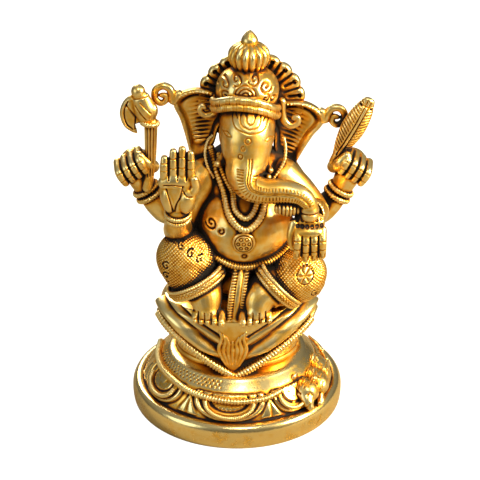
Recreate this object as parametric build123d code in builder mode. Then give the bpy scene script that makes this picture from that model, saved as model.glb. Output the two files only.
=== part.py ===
"""Seated elephant-headed devotional figure in cast brass, on a round plinth with a mouse.

Every piece is a separate casting or a separate piece of the founder's wax model, brazed or
pegged to its neighbour. Millimetres, +Z up, the figure faces -Y, and the origin is the centre
of the plinth's underside. "Right" and "left" are the figure's own.
"""

import os

from build123d import *

# -------------------------------------------- driving dimensions
PLINTH_WIDTH = 72.0
PLINTH_DEPTH = 68.0
BAND_HEIGHT = 8.5  # plain foot band round the plinth
BAND_ROUND = 2.6
LEDGE = 4.0  # flat step between the band's edge and the carpet mound
WALL = 3.2  # cast wall of the hollow plinth
MOUND_RISE = 11.5  # carpet mound above the band
MOUND_TOP_WIDTH = 44.0

SEAT_WIDTH = 51.0
SEAT_DEPTH = 40.0
SEAT_HEIGHT = 22.0
SEAT_WAIST = 0.92  # width of the seat's foot as a share of its rim
SEAT_ROLL = 3.4  # radius of the padded roll round the seat's rim
DRAPE_DROP = 25.0  # height of the pointed cloth in front of the seat
DRAPE_THICK = 2.2
HEM_RADIUS = 1.25

FIGURE_X = 2.0  # the figure sits a little to its left on the plinth
BELLY_WIDTH = 33.0
BELLY_DEPTH = 31.0
BELLY_HEIGHT = 33.0
CHEST_WIDTH = 31.0
CHEST_DEPTH = 23.0
TORSO_HEIGHT = 48.0  # seat top to neck
KNEE_RADIUS = 9.6
KNEE_SPREAD = 17.5
THIGH_RADIUS = 9.0
SHIN_RADIUS = 6.6
FOOT_WIDTH = 11.0
CUFF_RADIUS = 1.3

ARM_RADIUS = 4.4
WRIST_RADIUS = 3.3
BANGLE_RADIUS = 1.0
PALM_WIDTH = 10.2
PALM_LENGTH = 11.5
PALM_THICK = 4.2
FINGER_RADIUS = 1.35
FIST_RADIUS = 4.8

HEAD_WIDTH = 18.5
HEAD_DEPTH = 21.0
HEAD_HEIGHT = 24.0
HEAD_TILT = 7.5  # the head leans to its left, in degrees
TRUNK_ROOT_RADIUS = 7.0
TRUNK_TIP_RADIUS = 2.1
TUSK_RADIUS = 1.5
EAR_SPAN = 18.0
EAR_DROP = 21.0
EAR_THICK = 2.4
SCROLL_RADIUS = 3.4

CROWN_WIDTH = 20.5
CROWN_HEIGHT = 9.5
BROW_CORD_RADIUS = 1.15
FAN_WIDTH = 31.0
FAN_THICK = 2.6
BUD_WIDTH = 13.0
BUD_HEIGHT = 8.0
BUD_TIP_HEIGHT = 5.5
LEAF_WIDTH = 7.6
LEAF_THICK = 4.4

STUD_DIAMETER = 4.0
STUD_CLEARANCE = 0.25
WASHER_DIAMETER = 10.0
WASHER_THICK = 1.0
NUT_ACROSS_FLATS = 7.0
NUT_HEIGHT = 3.2
PEG_DIAMETER = 3.0  # tenon that locates a brazed limb in the torso
PEG_LENGTH = 4.0
PEG_CLEARANCE = 0.05
PLATE_THICK = 1.6
PLATE_CLEARANCE = 0.1

# -------------------------------------------- levels and centres
MOUND_TOP = BAND_HEIGHT + MOUND_RISE
SEAT_TOP = MOUND_TOP + SEAT_HEIGHT
NECK_Z = SEAT_TOP + TORSO_HEIGHT
SEAT_FRONT = -SEAT_DEPTH / 2
BELLY_CENTRE = Vector(FIGURE_X, -3, SEAT_TOP + BELLY_HEIGHT * 0.74)
CHEST_CENTRE = Vector(FIGURE_X + 0.5, 0, NECK_Z - 9)
HEAD_CENTRE = Vector(FIGURE_X + 1.2, -2, NECK_Z + HEAD_HEIGHT * 0.42)
CROWN_BASE = HEAD_CENTRE + Vector(0.5, 0, HEAD_HEIGHT * 0.41)
CROWN_TOP = CROWN_BASE + Vector(0, 0, CROWN_HEIGHT)
KNEE_Z = SEAT_TOP + KNEE_RADIUS * 1.55
BELLY_FRONT = BELLY_CENTRE.Y - BELLY_DEPTH / 2


# -------------------------------------------- a modeller's helpers
def ellipsoid(centre, width, depth, height):
    """A ball squashed to three diameters."""
    with BuildPart() as ball:
        Sphere(0.5)
        scale(by=(width, depth, height))
    return ball.part.moved(Location(centre))


def limb(points, radii):
    """A tapered round limb: a ball at each bend and a cone between neighbours."""
    spots = [Vector(p) for p in points]
    with BuildPart() as shape:
        for spot, radius in zip(spots, radii):
            with Locations(Location(spot)):
                Sphere(radius)
        for start, end, wide, thin in zip(spots, spots[1:], radii, radii[1:]):
            along = end - start
            middle = Plane(origin=(start + end) * 0.5, z_dir=along)
            with Locations(middle.location):
                if abs(wide - thin) < 0.01:
                    Cylinder(wide, along.length)
                else:
                    Cone(wide, thin, along.length)
    return shape.part


def cord(points, radius):
    """A round wax cord pressed along a smooth line, with rounded ends."""
    spots = [Vector(p) for p in points]
    with BuildPart() as shape:
        with BuildLine() as line:
            Spline(*spots)
        with BuildSketch(Plane(origin=line.line @ 0, z_dir=line.line % 0)):
            Circle(radius)
        sweep(path=line.line)
    return shape.part


def ring(centre, axis, radius, cord_radius):
    """A bangle: a round cord closed round a limb."""
    with BuildPart() as shape:
        with Locations(Plane(origin=centre, z_dir=axis).location):
            Torus(radius, cord_radius)
    return shape.part


def cut_from(piece, *neighbours):
    """The piece with its neighbours' room taken out, so that the two meet face to face."""
    rest = piece
    for other in neighbours:
        rest = rest - other
    return max(rest.solids(), key=lambda solid: solid.volume)


def keep(name, *solids):
    """Writes one named piece, or one group of like pieces, as its own STEP file."""
    shape = solids[0] if len(solids) == 1 else Compound(children=list(solids))
    shape.label = name
    export_step(shape, f"parts/{name}.step")


os.makedirs("parts", exist_ok=True)


# -------------------------------------------- plinth, hollow, with its plate
mound_ratio = PLINTH_DEPTH / PLINTH_WIDTH
mound_width = PLINTH_WIDTH - 2 * LEDGE
mound_mid_width = mound_width * 0.62 + MOUND_TOP_WIDTH * 0.38
with BuildPart() as plinth:
    with BuildSketch():
        Ellipse(PLINTH_WIDTH / 2, PLINTH_DEPTH / 2)
    extrude(amount=BAND_HEIGHT)
    fillet(plinth.edges().sort_by(Axis.Z)[-1], BAND_ROUND)
    with BuildSketch(Plane.XY.offset(BAND_HEIGHT)):
        Ellipse(mound_width / 2, mound_width / 2 * mound_ratio)
    with BuildSketch(Plane.XY.offset(BAND_HEIGHT + MOUND_RISE * 0.65)):
        Ellipse(mound_mid_width / 2, mound_mid_width / 2 * mound_ratio)
    with BuildSketch(Plane.XY.offset(MOUND_TOP)):
        Ellipse(MOUND_TOP_WIDTH / 2, MOUND_TOP_WIDTH / 2 * mound_ratio)
    loft()
    with BuildSketch():
        Ellipse(mound_width / 2 - WALL, mound_width / 2 * mound_ratio - WALL)
    with BuildSketch(Plane.XY.offset(MOUND_TOP - WALL)):
        Ellipse(MOUND_TOP_WIDTH / 2 - 2 * WALL, MOUND_TOP_WIDTH / 2 * mound_ratio - 2 * WALL)
    loft(mode=Mode.SUBTRACT)
    with BuildSketch():
        Ellipse(mound_width / 2, mound_width / 2 * mound_ratio)
    extrude(amount=PLATE_THICK, mode=Mode.SUBTRACT)
    with Locations((0, 0, MOUND_TOP)):
        Hole(STUD_DIAMETER / 2 + STUD_CLEARANCE)
keep("plinth", plinth.part)

with BuildPart() as base_plate:
    with BuildSketch():
        Ellipse(mound_width / 2 - PLATE_CLEARANCE, mound_width / 2 * mound_ratio - PLATE_CLEARANCE)
    extrude(amount=PLATE_THICK)
keep("base_plate", base_plate.part)

# -------------------------------------------- stud, washer and nut that hold the figure down
stud_head = 6.0  # length screwed into the seat
stud_foot = MOUND_TOP - WALL - WASHER_THICK - NUT_HEIGHT - 1.5
with BuildPart() as fixing_stud:
    with Locations((0, 0, (stud_foot + MOUND_TOP + stud_head) / 2)):
        Cylinder(STUD_DIAMETER / 2, MOUND_TOP + stud_head - stud_foot)
    chamfer(fixing_stud.edges().filter_by(GeomType.CIRCLE), 0.4)
keep("fixing_stud", fixing_stud.part)

washer_top = MOUND_TOP - WALL
with BuildPart() as fixing_washer:
    with BuildSketch(Plane.XY.offset(washer_top - WASHER_THICK)):
        Circle(WASHER_DIAMETER / 2)
        Circle(STUD_DIAMETER / 2 + STUD_CLEARANCE, mode=Mode.SUBTRACT)
    extrude(amount=WASHER_THICK)
keep("fixing_washer", fixing_washer.part)

with BuildPart() as fixing_nut:
    with BuildSketch(Plane.XY.offset(washer_top - WASHER_THICK - NUT_HEIGHT)):
        RegularPolygon(NUT_ACROSS_FLATS / 2, 6, major_radius=False)
        Circle(STUD_DIAMETER / 2, mode=Mode.SUBTRACT)
    extrude(amount=NUT_HEIGHT)
keep("fixing_nut", fixing_nut.part)

# -------------------------------------------- seat: a flared stool with a padded roll round its rim
seat_ratio = SEAT_DEPTH / SEAT_WIDTH
core_width = SEAT_WIDTH - 1.2 * SEAT_ROLL
roll_z = SEAT_TOP - SEAT_ROLL * 1.35
with BuildPart() as seat:
    for height, share in ((0, SEAT_WAIST), (0.28, SEAT_WAIST * 0.94), (0.74, 1.0), (1.0, 0.9)):
        with BuildSketch(Plane.XY.offset(MOUND_TOP + SEAT_HEIGHT * height)):
            Ellipse(core_width / 2 * share, core_width / 2 * share * seat_ratio)
    loft()
    with Locations((0, 0, MOUND_TOP + stud_head / 2)):
        Cylinder(STUD_DIAMETER / 2, stud_head, mode=Mode.SUBTRACT)
seat_core = seat.part

with BuildPart() as seat_roll:
    with BuildLine(Plane.XY.offset(roll_z)) as rim:
        EllipticalCenterArc((0, 0), SEAT_WIDTH / 2 - SEAT_ROLL, SEAT_DEPTH / 2 - SEAT_ROLL, 0, arc_size=360)
    with BuildSketch(Plane(origin=rim.line @ 0, z_dir=rim.line % 0)):
        Circle(SEAT_ROLL)
    sweep(path=rim.line)
seat_roll_part = cut_from(seat_roll.part, seat_core)
keep("seat", seat_core)
keep("seat_roll", seat_roll_part)

# -------------------------------------------- pointed cloth that hangs over the seat's front
drape_foot = SEAT_TOP - DRAPE_DROP
drape_half = SEAT_WIDTH * 0.53
drape_end = 4.0  # the cloth stops this far in front of the seat's middle
with BuildPart() as seat_drape:
    for height, share in ((drape_foot, 0.9), (roll_z, 1.0), (SEAT_TOP + 0.8, 0.94)):
        with BuildSketch(Plane.XY.offset(height)):
            Ellipse((SEAT_WIDTH / 2 + DRAPE_THICK) * share, (SEAT_DEPTH / 2 + DRAPE_THICK) * share)
    loft(ruled=True)
    with BuildSketch(Plane.XZ.offset(drape_end)):
        with BuildLine():
            Polyline(
                (-drape_half, SEAT_TOP + 1),
                (-drape_half, roll_z - SEAT_ROLL),
                (0, drape_foot),
                (drape_half, roll_z - SEAT_ROLL),
                (drape_half, SEAT_TOP + 1),
                close=True,
            )
        make_face()
    extrude(amount=SEAT_DEPTH, mode=Mode.INTERSECT)
drape_part = cut_from(seat_drape.part, seat_core, seat_roll_part, plinth.part)
keep("seat_drape", drape_part)



def on_drape(across, height, proud=0.0):
    """A point on the cloth's outer face, at a width from the middle and a height."""
    swell = 1.0 if height > roll_z else 0.9 + 0.1 * (height - drape_foot) / (roll_z - drape_foot)
    half_width = (SEAT_WIDTH / 2 + DRAPE_THICK) * swell
    half_depth = (SEAT_DEPTH / 2 + DRAPE_THICK) * swell
    return Vector(across, -half_depth * (1 - (across / half_width) ** 2) ** 0.5 - proud, height)


hem_proud = 0.45
hem_sides = []
for side in (-1, 1):
    hem_line = [
        on_drape(
            side * drape_half * share, drape_foot + (roll_z - SEAT_ROLL - drape_foot) * share + 0.8, hem_proud
        )
        for share in (0.0, 0.25, 0.5, 0.75, 0.93)
    ]
    hem_side = cord(hem_line, HEM_RADIUS)
    hem_sides.append(cut_from(hem_side, drape_part, seat_core, seat_roll_part, plinth.part, *hem_sides))
keep("drape_hem", *hem_sides)

lotus_foot = drape_foot + 3.2
petal_length = DRAPE_DROP * 0.46
petals = []
for lean in (0, -17, 17, -34, 34):
    along = Vector(0, 0, petal_length).rotate(Axis.Y, lean)
    shares = (0.0, 0.5, 1.0)
    petal_line = [on_drape(along.X * share, lotus_foot + along.Z * share, 0.3) for share in shares]
    petal = limb(petal_line, [0.5, 1.5, 0.4])
    petals.append(cut_from(petal, drape_part, plinth.part, *hem_sides, *petals))
keep("drape_lotus", *petals)

# -------------------------------------------- torso: round belly and chest in one casting
shoulder_x = CHEST_WIDTH * 0.42
rear_shoulder_z = NECK_Z - 8.0
rear_roots = {side: Vector(FIGURE_X + side * shoulder_x, 4.0, rear_shoulder_z) for side in (-1, 1)}
socket_reach = ARM_RADIUS * 1.5  # the socket is drilled in from this far outside the arm's root
neck_foot = Vector(HEAD_CENTRE.X - 0.4, HEAD_CENTRE.Y + 3, CHEST_CENTRE.Z + CHEST_WIDTH * 0.3)
with BuildPart() as torso:
    add(ellipsoid(BELLY_CENTRE, BELLY_WIDTH, BELLY_DEPTH, BELLY_HEIGHT))
    add(ellipsoid(CHEST_CENTRE, CHEST_WIDTH, CHEST_DEPTH, CHEST_WIDTH))
    hips = Vector(FIGURE_X, 2, SEAT_TOP + 6)
    add(ellipsoid(hips, BELLY_WIDTH * 1.08, BELLY_DEPTH * 0.9, BELLY_HEIGHT * 0.62))
torso_whole = cut_from(torso.part, seat_core, seat_roll_part, drape_part)
with BuildPart() as torso_drilled:
    add(torso_whole)
    for side, root in rear_roots.items():
        with Locations(Plane(origin=root + Vector(side * socket_reach, 0, 0), z_dir=(side, 0, 0)).location):
            Cylinder(
                PEG_DIAMETER / 2 + PEG_CLEARANCE,
                socket_reach + PEG_LENGTH + PEG_CLEARANCE,
                align=(Align.CENTER, Align.CENTER, Align.MAX),
                mode=Mode.SUBTRACT,
            )
torso_body = torso_drilled.part
keep("torso", torso_body)

# -------------------------------------------- legs folded in a patterned wrap, with feet and cuffs
hip_z = SEAT_TOP + THIGH_RADIUS * 1.15
knee_lift = {-1: 2.9, 1: -2.8}
legs, cuffs, feet = {}, {}, {}
for side, name in ((-1, "right"), (1, "left")):
    hip = Vector(FIGURE_X + side * 7.0, 1.0, hip_z)
    knee = Vector(
        FIGURE_X + side * KNEE_SPREAD, SEAT_FRONT + KNEE_RADIUS * 0.45, KNEE_Z + knee_lift[side]
    )
    ankle = Vector(FIGURE_X + side * 8.2, SEAT_FRONT + 2.5, SEAT_TOP + SHIN_RADIUS + 1.2)
    leg = limb([hip, knee, ankle], [THIGH_RADIUS, KNEE_RADIUS, SHIN_RADIUS])
    legs[side] = cut_from(leg, seat_core, seat_roll_part, torso_body, drape_part, *legs.values())

    shin = (ankle - knee).normalized()
    cuff = ring(ankle + shin * SHIN_RADIUS * 0.15, shin, SHIN_RADIUS, CUFF_RADIUS)
    cuffs[side] = cut_from(
        cuff, legs[side], seat_core, seat_roll_part, torso_body, drape_part, *cuffs.values()
    )

    heel = Vector(FIGURE_X + side * 6.4, SEAT_FRONT + 2.5, SEAT_TOP + 4.2)
    ball = Vector(FIGURE_X + side * 6.0, SEAT_FRONT - 1.2, SEAT_TOP + 1.9)
    foot = limb([heel, ball], [FOOT_WIDTH * 0.36, FOOT_WIDTH * 0.3])
    for toe in range(5):
        toe_x = ball.X + side * (toe - 2) * FOOT_WIDTH * 0.19
        toe_radius = 1.35 if toe == 0 else 1.0
        toe_back = Vector(toe_x, ball.Y - 0.5, ball.Z + 0.4)
        toe_front = Vector(toe_x, ball.Y - 3.8 + toe * 0.35, ball.Z - 0.6)
        foot = foot + limb([toe_back, toe_front], [toe_radius, toe_radius])
    feet[side] = cut_from(
        foot, *legs.values(), cuffs[side], seat_core, seat_roll_part, torso_body, drape_part, *petals
    )
    keep(f"{name}_leg", legs[side])
    keep(f"{name}_cuff", cuffs[side])
    keep(f"{name}_foot", feet[side])

# -------------------------------------------- pleats of the wrap, between the feet
pleat_width = 1.9
pleat_top = Vector(FIGURE_X, BELLY_FRONT + 3.0, SEAT_TOP + 17)
pleat_foot = Vector(FIGURE_X - 0.6, SEAT_FRONT - 1.2, SEAT_TOP + 0.6)
pleats = []
pleat_neighbours = (torso_body, *legs.values(), *feet.values(), *cuffs.values(), seat_core, seat_roll_part)
for index in (-1, 0, 1):
    across = Vector(index * (pleat_width + 0.5), 0, 0)
    strip = limb([pleat_top + across, pleat_foot + across * 0.8], [pleat_width / 2, pleat_width / 2])
    pleats.append(cut_from(strip, *pleat_neighbours, drape_part))
keep("waist_pleats", *pleats)


# -------------------------------------------- belt, necklaces and pendant
def on_belly(turn, rise, proud=0.0):
    """The point of the belly's skin that faces turn degrees left of front, at a height above its middle."""
    share = max(0.0, 1 - (2 * rise / BELLY_HEIGHT) ** 2) ** 0.5
    facing = Vector(0, -1, 0).rotate(Axis.Z, turn)
    return BELLY_CENTRE + Vector(
        facing.X * (BELLY_WIDTH / 2 * share + proud), facing.Y * (BELLY_DEPTH / 2 * share + proud), rise
    )


belt_course = ((-80, 3), (-52, -1), (-24, -6), (0, -8.5), (26, -7), (52, -2), (80, 3))
belt = cord([on_belly(turn, rise, 0.3) for turn, rise in belt_course], 1.4)
belt_part = cut_from(belt, torso_body, *legs.values(), *pleats)
keep("waist_belt", belt_part)

necklaces = {}
collar = NECK_Z - 4
for name, spread, drop, radius in (("outer_necklace", 8.6, 4.5, 1.15), ("inner_necklace", 5.6, 8.0, 1.0)):
    low = on_belly(0, BELLY_HEIGHT / 2 - 12.0 + drop - 4.5)
    strand = cord(
        [
            Vector(FIGURE_X - spread, CHEST_CENTRE.Y - CHEST_DEPTH * 0.33, collar),
            Vector(FIGURE_X - spread * 0.8, low.Y + 3.4, (collar + low.Z) / 2),
            low,
            Vector(FIGURE_X + spread * 0.8, low.Y + 3.4, (collar + low.Z) / 2),
            Vector(FIGURE_X + spread, CHEST_CENTRE.Y - CHEST_DEPTH * 0.33, collar),
        ],
        radius,
    )
    necklaces[name] = cut_from(strand, torso_body, *necklaces.values())
    keep(name, necklaces[name])

pendant_spot = on_belly(0, BELLY_HEIGHT / 2 - 15.5)
pendant = ellipsoid(pendant_spot, 7.6, 3.0, 7.6)
pendant_part = cut_from(pendant, torso_body, *necklaces.values())
keep("pendant", pendant_part)

# -------------------------------------------- head, trunk and tusks
head_face = Plane(origin=HEAD_CENTRE, x_dir=Vector(1, 0, 0).rotate(Axis.Y, HEAD_TILT), z_dir=(0, -1, 0))


def on_head(across, up, forward=0.0):
    """A point in the tilted head's own frame, from its centre."""
    return head_face.from_local_coords(Vector(across, up, forward))


head = ellipsoid(HEAD_CENTRE, HEAD_WIDTH, HEAD_DEPTH, HEAD_HEIGHT) + limb(
    [neck_foot, HEAD_CENTRE + Vector(0, 4, 0)], [HEAD_WIDTH * 0.4, HEAD_WIDTH * 0.46]
)
head_part = cut_from(head, torso_body, *necklaces.values())
trunk_line = [
    HEAD_CENTRE + Vector(0, -HEAD_DEPTH * 0.3, -4.8),
    HEAD_CENTRE + Vector(-0.8, -HEAD_DEPTH * 0.52, -9.2),
    HEAD_CENTRE + Vector(0.2, -HEAD_DEPTH * 0.69, -13.2),
    HEAD_CENTRE + Vector(4.6, -HEAD_DEPTH * 0.79, -15.6),
    HEAD_CENTRE + Vector(10.8, -HEAD_DEPTH * 0.83, -14.0),
    HEAD_CENTRE + Vector(16.4, -HEAD_DEPTH * 0.86, -13.8),
    HEAD_CENTRE + Vector(18.8, -HEAD_DEPTH * 0.88, -18.6),
]
taper = (TRUNK_ROOT_RADIUS - TRUNK_TIP_RADIUS) / (len(trunk_line) - 1)
trunk = limb(trunk_line, [TRUNK_ROOT_RADIUS - taper * step for step in range(len(trunk_line))])
trunk_part = cut_from(trunk, head_part, torso_body, *necklaces.values())
keep("head", head_part)
keep("trunk", trunk_part)
for side, name in ((-1, "right_tusk"), (1, "left_tusk")):
    root = HEAD_CENTRE + Vector(side * HEAD_WIDTH * 0.33, -HEAD_DEPTH * 0.3, -7.6)
    tip = root + Vector(side * 3.2, -4.8, -3.6)
    tusk = limb([root, tip], [TUSK_RADIUS, TUSK_RADIUS * 0.55])
    keep(name, cut_from(tusk, head_part, trunk_part, torso_body))

# -------------------------------------------- ears with their rolled scrolls
ear_back = -4.0
ear_root = HEAD_WIDTH * 0.36
ears = {}
hooks = []
for side, name in ((-1, "right"), (1, "left")):
    with BuildPart() as ear:
        with BuildSketch(head_face.offset(ear_back)):
            with BuildLine():
                top = Spline(
                    (side * ear_root, EAR_DROP * 0.42),
                    (side * (ear_root + EAR_SPAN * 0.5), EAR_DROP * 0.46),
                    (side * (ear_root + EAR_SPAN), EAR_DROP * 0.33),
                )
                outer = Spline(
                    top @ 1,
                    (side * (ear_root + EAR_SPAN * 0.82), EAR_DROP * 0.0),
                    (side * (ear_root + EAR_SPAN * 0.6), -EAR_DROP * 0.54),
                )
                inner = Line(outer @ 1, (side * ear_root, -EAR_DROP * 0.36))
                Line(inner @ 1, top @ 0)
            make_face()
        extrude(amount=EAR_THICK / 2, both=True)
    ears[side] = cut_from(ear.part, head_part, torso_body, trunk_part)
    keep(f"{name}_ear", ears[side])
    scroll_spot = on_head(side * (ear_root + EAR_SPAN + SCROLL_RADIUS * 0.5), EAR_DROP * 0.36, ear_back)
    scroll = ring(scroll_spot, (0, 1, 0), SCROLL_RADIUS * 0.66, SCROLL_RADIUS * 0.36)
    keep(f"{name}_ear_scroll", cut_from(scroll, ears[side]))
    hook_course = ((0.7, 0.36), (0.4, 0.42), (0.14, 0.28), (0.4, 0.12), (0.7, 0.14))
    hook_line = [
        on_head(side * (ear_root * 1.5 + EAR_SPAN * 0.4 * reach), EAR_DROP * rise, ear_back + EAR_THICK * 0.75)
        for reach, rise in hook_course
    ]
    hooks.append(cut_from(cord(hook_line, 0.95), ears[side], head_part))
# -------------------------------------------- crown: cap, brow cords, fan of lobes and bud
with BuildPart() as crown_cap:
    add(ellipsoid(CROWN_BASE, CROWN_WIDTH, CROWN_WIDTH * 0.95, 2 * CROWN_HEIGHT))
    split(bisect_by=Plane.XY.offset(CROWN_BASE.Z - 1.5), keep=Keep.TOP)
cap_part = cut_from(crown_cap.part, head_part, trunk_part, *ears.values())
brow_cords = []
for level in (0, 1):
    z = CROWN_BASE.Z - 1.6 + level * 2.4
    with BuildPart() as brow:
        with BuildLine(Plane.XY.offset(z)) as arc:
            EllipticalCenterArc(
                (CROWN_BASE.X, CROWN_BASE.Y), CROWN_WIDTH / 2, CROWN_WIDTH * 0.475, 180, arc_size=180
            )
        with BuildSketch(Plane(origin=arc.line @ 0, z_dir=arc.line % 0)):
            Circle(BROW_CORD_RADIUS)
        sweep(path=arc.line)
    brow_cords.append(cut_from(brow.part, cap_part, head_part, trunk_part, *ears.values(), *brow_cords))

lobes = 9
fan_face = Plane(origin=on_head(0, HEAD_HEIGHT * 0.25, -5.5), x_dir=head_face.x_dir, z_dir=head_face.z_dir)
with BuildPart() as crown_fan:
    with BuildSketch(fan_face):
        Circle(FAN_WIDTH / 2 - 2.2)
        with PolarLocations(FAN_WIDTH / 2 - 2.6, lobes, start_angle=8, angular_range=164):
            Circle(2.6)
        Rectangle(FAN_WIDTH * 2, FAN_WIDTH, align=(Align.CENTER, Align.MAX), mode=Mode.SUBTRACT)
    extrude(amount=FAN_THICK / 2, both=True)
fan_part = cut_from(crown_fan.part, cap_part, head_part, *ears.values())
hook_parts = [cut_from(hook, cap_part, fan_part, *brow_cords) for hook in hooks]
keep("ear_hooks", *hook_parts)
keep("crown_cap", cap_part)
keep("brow_cords", *brow_cords)
keep("crown_fan", fan_part)

bud_foot = CROWN_TOP.Z - 2.0
with BuildPart() as crown_bud:
    with BuildSketch(Plane.XZ):
        with BuildLine():
            Line((0, bud_foot), (BUD_WIDTH * 0.34, bud_foot))
            Spline(
                (BUD_WIDTH * 0.34, bud_foot),
                (BUD_WIDTH * 0.5, bud_foot + BUD_HEIGHT * 0.5),
                (BUD_WIDTH * 0.19, bud_foot + BUD_HEIGHT),
            )
            Spline(
                (BUD_WIDTH * 0.19, bud_foot + BUD_HEIGHT),
                (BUD_WIDTH * 0.17, bud_foot + BUD_HEIGHT + BUD_TIP_HEIGHT * 0.45),
                (0, bud_foot + BUD_HEIGHT + BUD_TIP_HEIGHT),
            )
            Line((0, bud_foot + BUD_HEIGHT + BUD_TIP_HEIGHT), (0, bud_foot))
        make_face()
    revolve(axis=Axis.Z)
bud_part = cut_from(crown_bud.part.moved(Location((CROWN_TOP.X, CROWN_TOP.Y, 0))), cap_part, fan_part)
keep("crown_bud", bud_part)

# -------------------------------------------- front arm that blesses, with its open hand
body_parts = (torso_body, head_part, trunk_part, *legs.values(), belt_part, *necklaces.values(), pendant_part)


def open_hand(wrist, up, across, palm_side, spread, thumb_side):
    """A hand with four straight fingers: a flat palm above the wrist and a thumb at one side."""
    up = up.normalized()
    across = across.normalized()
    palm_middle = wrist + up * PALM_LENGTH * 0.55
    knuckles = wrist + up * PALM_LENGTH
    hand = limb(
        [wrist, palm_middle - across * PALM_WIDTH * 0.22, palm_middle + across * PALM_WIDTH * 0.22, wrist],
        [WRIST_RADIUS * 0.9, PALM_THICK / 2, PALM_THICK / 2, WRIST_RADIUS * 0.9],
    )
    for finger in range(4):
        offset = (finger - 1.5) * PALM_WIDTH * 0.27
        length = PALM_LENGTH * (0.86, 1.0, 0.94, 0.8)[finger]
        root = palm_middle + across * offset
        base = knuckles + across * offset
        tip = base + up * length + across * offset * spread
        hand = hand + limb([root, base, tip], [PALM_THICK * 0.46, FINGER_RADIUS * 1.12, FINGER_RADIUS])
    thumb_root = wrist + up * PALM_LENGTH * 0.35 + across * thumb_side * PALM_WIDTH * 0.34
    thumb_tip = thumb_root + up * PALM_LENGTH * 0.62 + across * thumb_side * 2.6 + palm_side * 1.2
    return hand + limb([thumb_root, thumb_tip], [PALM_THICK * 0.42, FINGER_RADIUS])


right_wrist = Vector(FIGURE_X - 20.3, BELLY_FRONT + 0.5, NECK_Z - 12.5)
right_arm_line = [
    Vector(FIGURE_X - shoulder_x * 0.95, -3.4, NECK_Z - 7),
    Vector(FIGURE_X - shoulder_x - 6.5, -8.5, NECK_Z - 23),
    right_wrist,
]
right_arm = cut_from(
    limb(right_arm_line, [ARM_RADIUS * 1.15, ARM_RADIUS, WRIST_RADIUS]), *body_parts, ears[-1]
)
blessing = open_hand(right_wrist, Vector(-0.04, -0.1, 1), Vector(1, 0, 0), Vector(0, -1, 0), 0.12, 1)
blessing_part = cut_from(blessing, right_arm, *body_parts)
right_bangle = ring(right_wrist, Vector(0, -0.4, 1), WRIST_RADIUS, BANGLE_RADIUS)
right_bangle_part = cut_from(right_bangle, right_arm, blessing_part, *body_parts)
keep("right_front_arm", right_arm)
keep("blessing_hand", blessing_part)
keep("right_front_bangle", right_bangle_part)

# -------------------------------------------- front arm whose hand hangs over the knee
left_wrist = Vector(FIGURE_X + 21.2, BELLY_FRONT + 1.5, NECK_Z - 13.2)
left_arm_line = [
    Vector(FIGURE_X + shoulder_x * 0.95, -3.4, NECK_Z - 7),
    Vector(FIGURE_X + shoulder_x + 9.5, -6.0, NECK_Z - 17.5),
    left_wrist,
]
left_arm = cut_from(
    limb(left_arm_line, [ARM_RADIUS * 1.15, ARM_RADIUS, WRIST_RADIUS]), *body_parts, ears[1]
)
resting = open_hand(left_wrist, Vector(-0.03, -0.2, -1), Vector(1, 0, 0), Vector(0, 1, 0), 0.08, -1)
resting_part = cut_from(resting, left_arm, *body_parts)
left_bangle = ring(left_wrist + Vector(0, 0.6, -0.6), Vector(0, 0.6, 1), WRIST_RADIUS, BANGLE_RADIUS)
left_bangle_part = cut_from(left_bangle, left_arm, resting_part, *body_parts)
keep("left_front_arm", left_arm)
keep("resting_hand", resting_part)
keep("left_front_bangle", left_bangle_part)

modak_spot = trunk_line[4] + Vector(1.6, -0.6, -TRUNK_TIP_RADIUS - 2.4)
modak = limb([modak_spot, modak_spot + Vector(0, 0, -3.4)], [3.3, 1.6])
modak_part = cut_from(modak, trunk_part, *body_parts, resting_part, left_arm, left_bangle_part)
keep("modak", modak_part)

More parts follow.
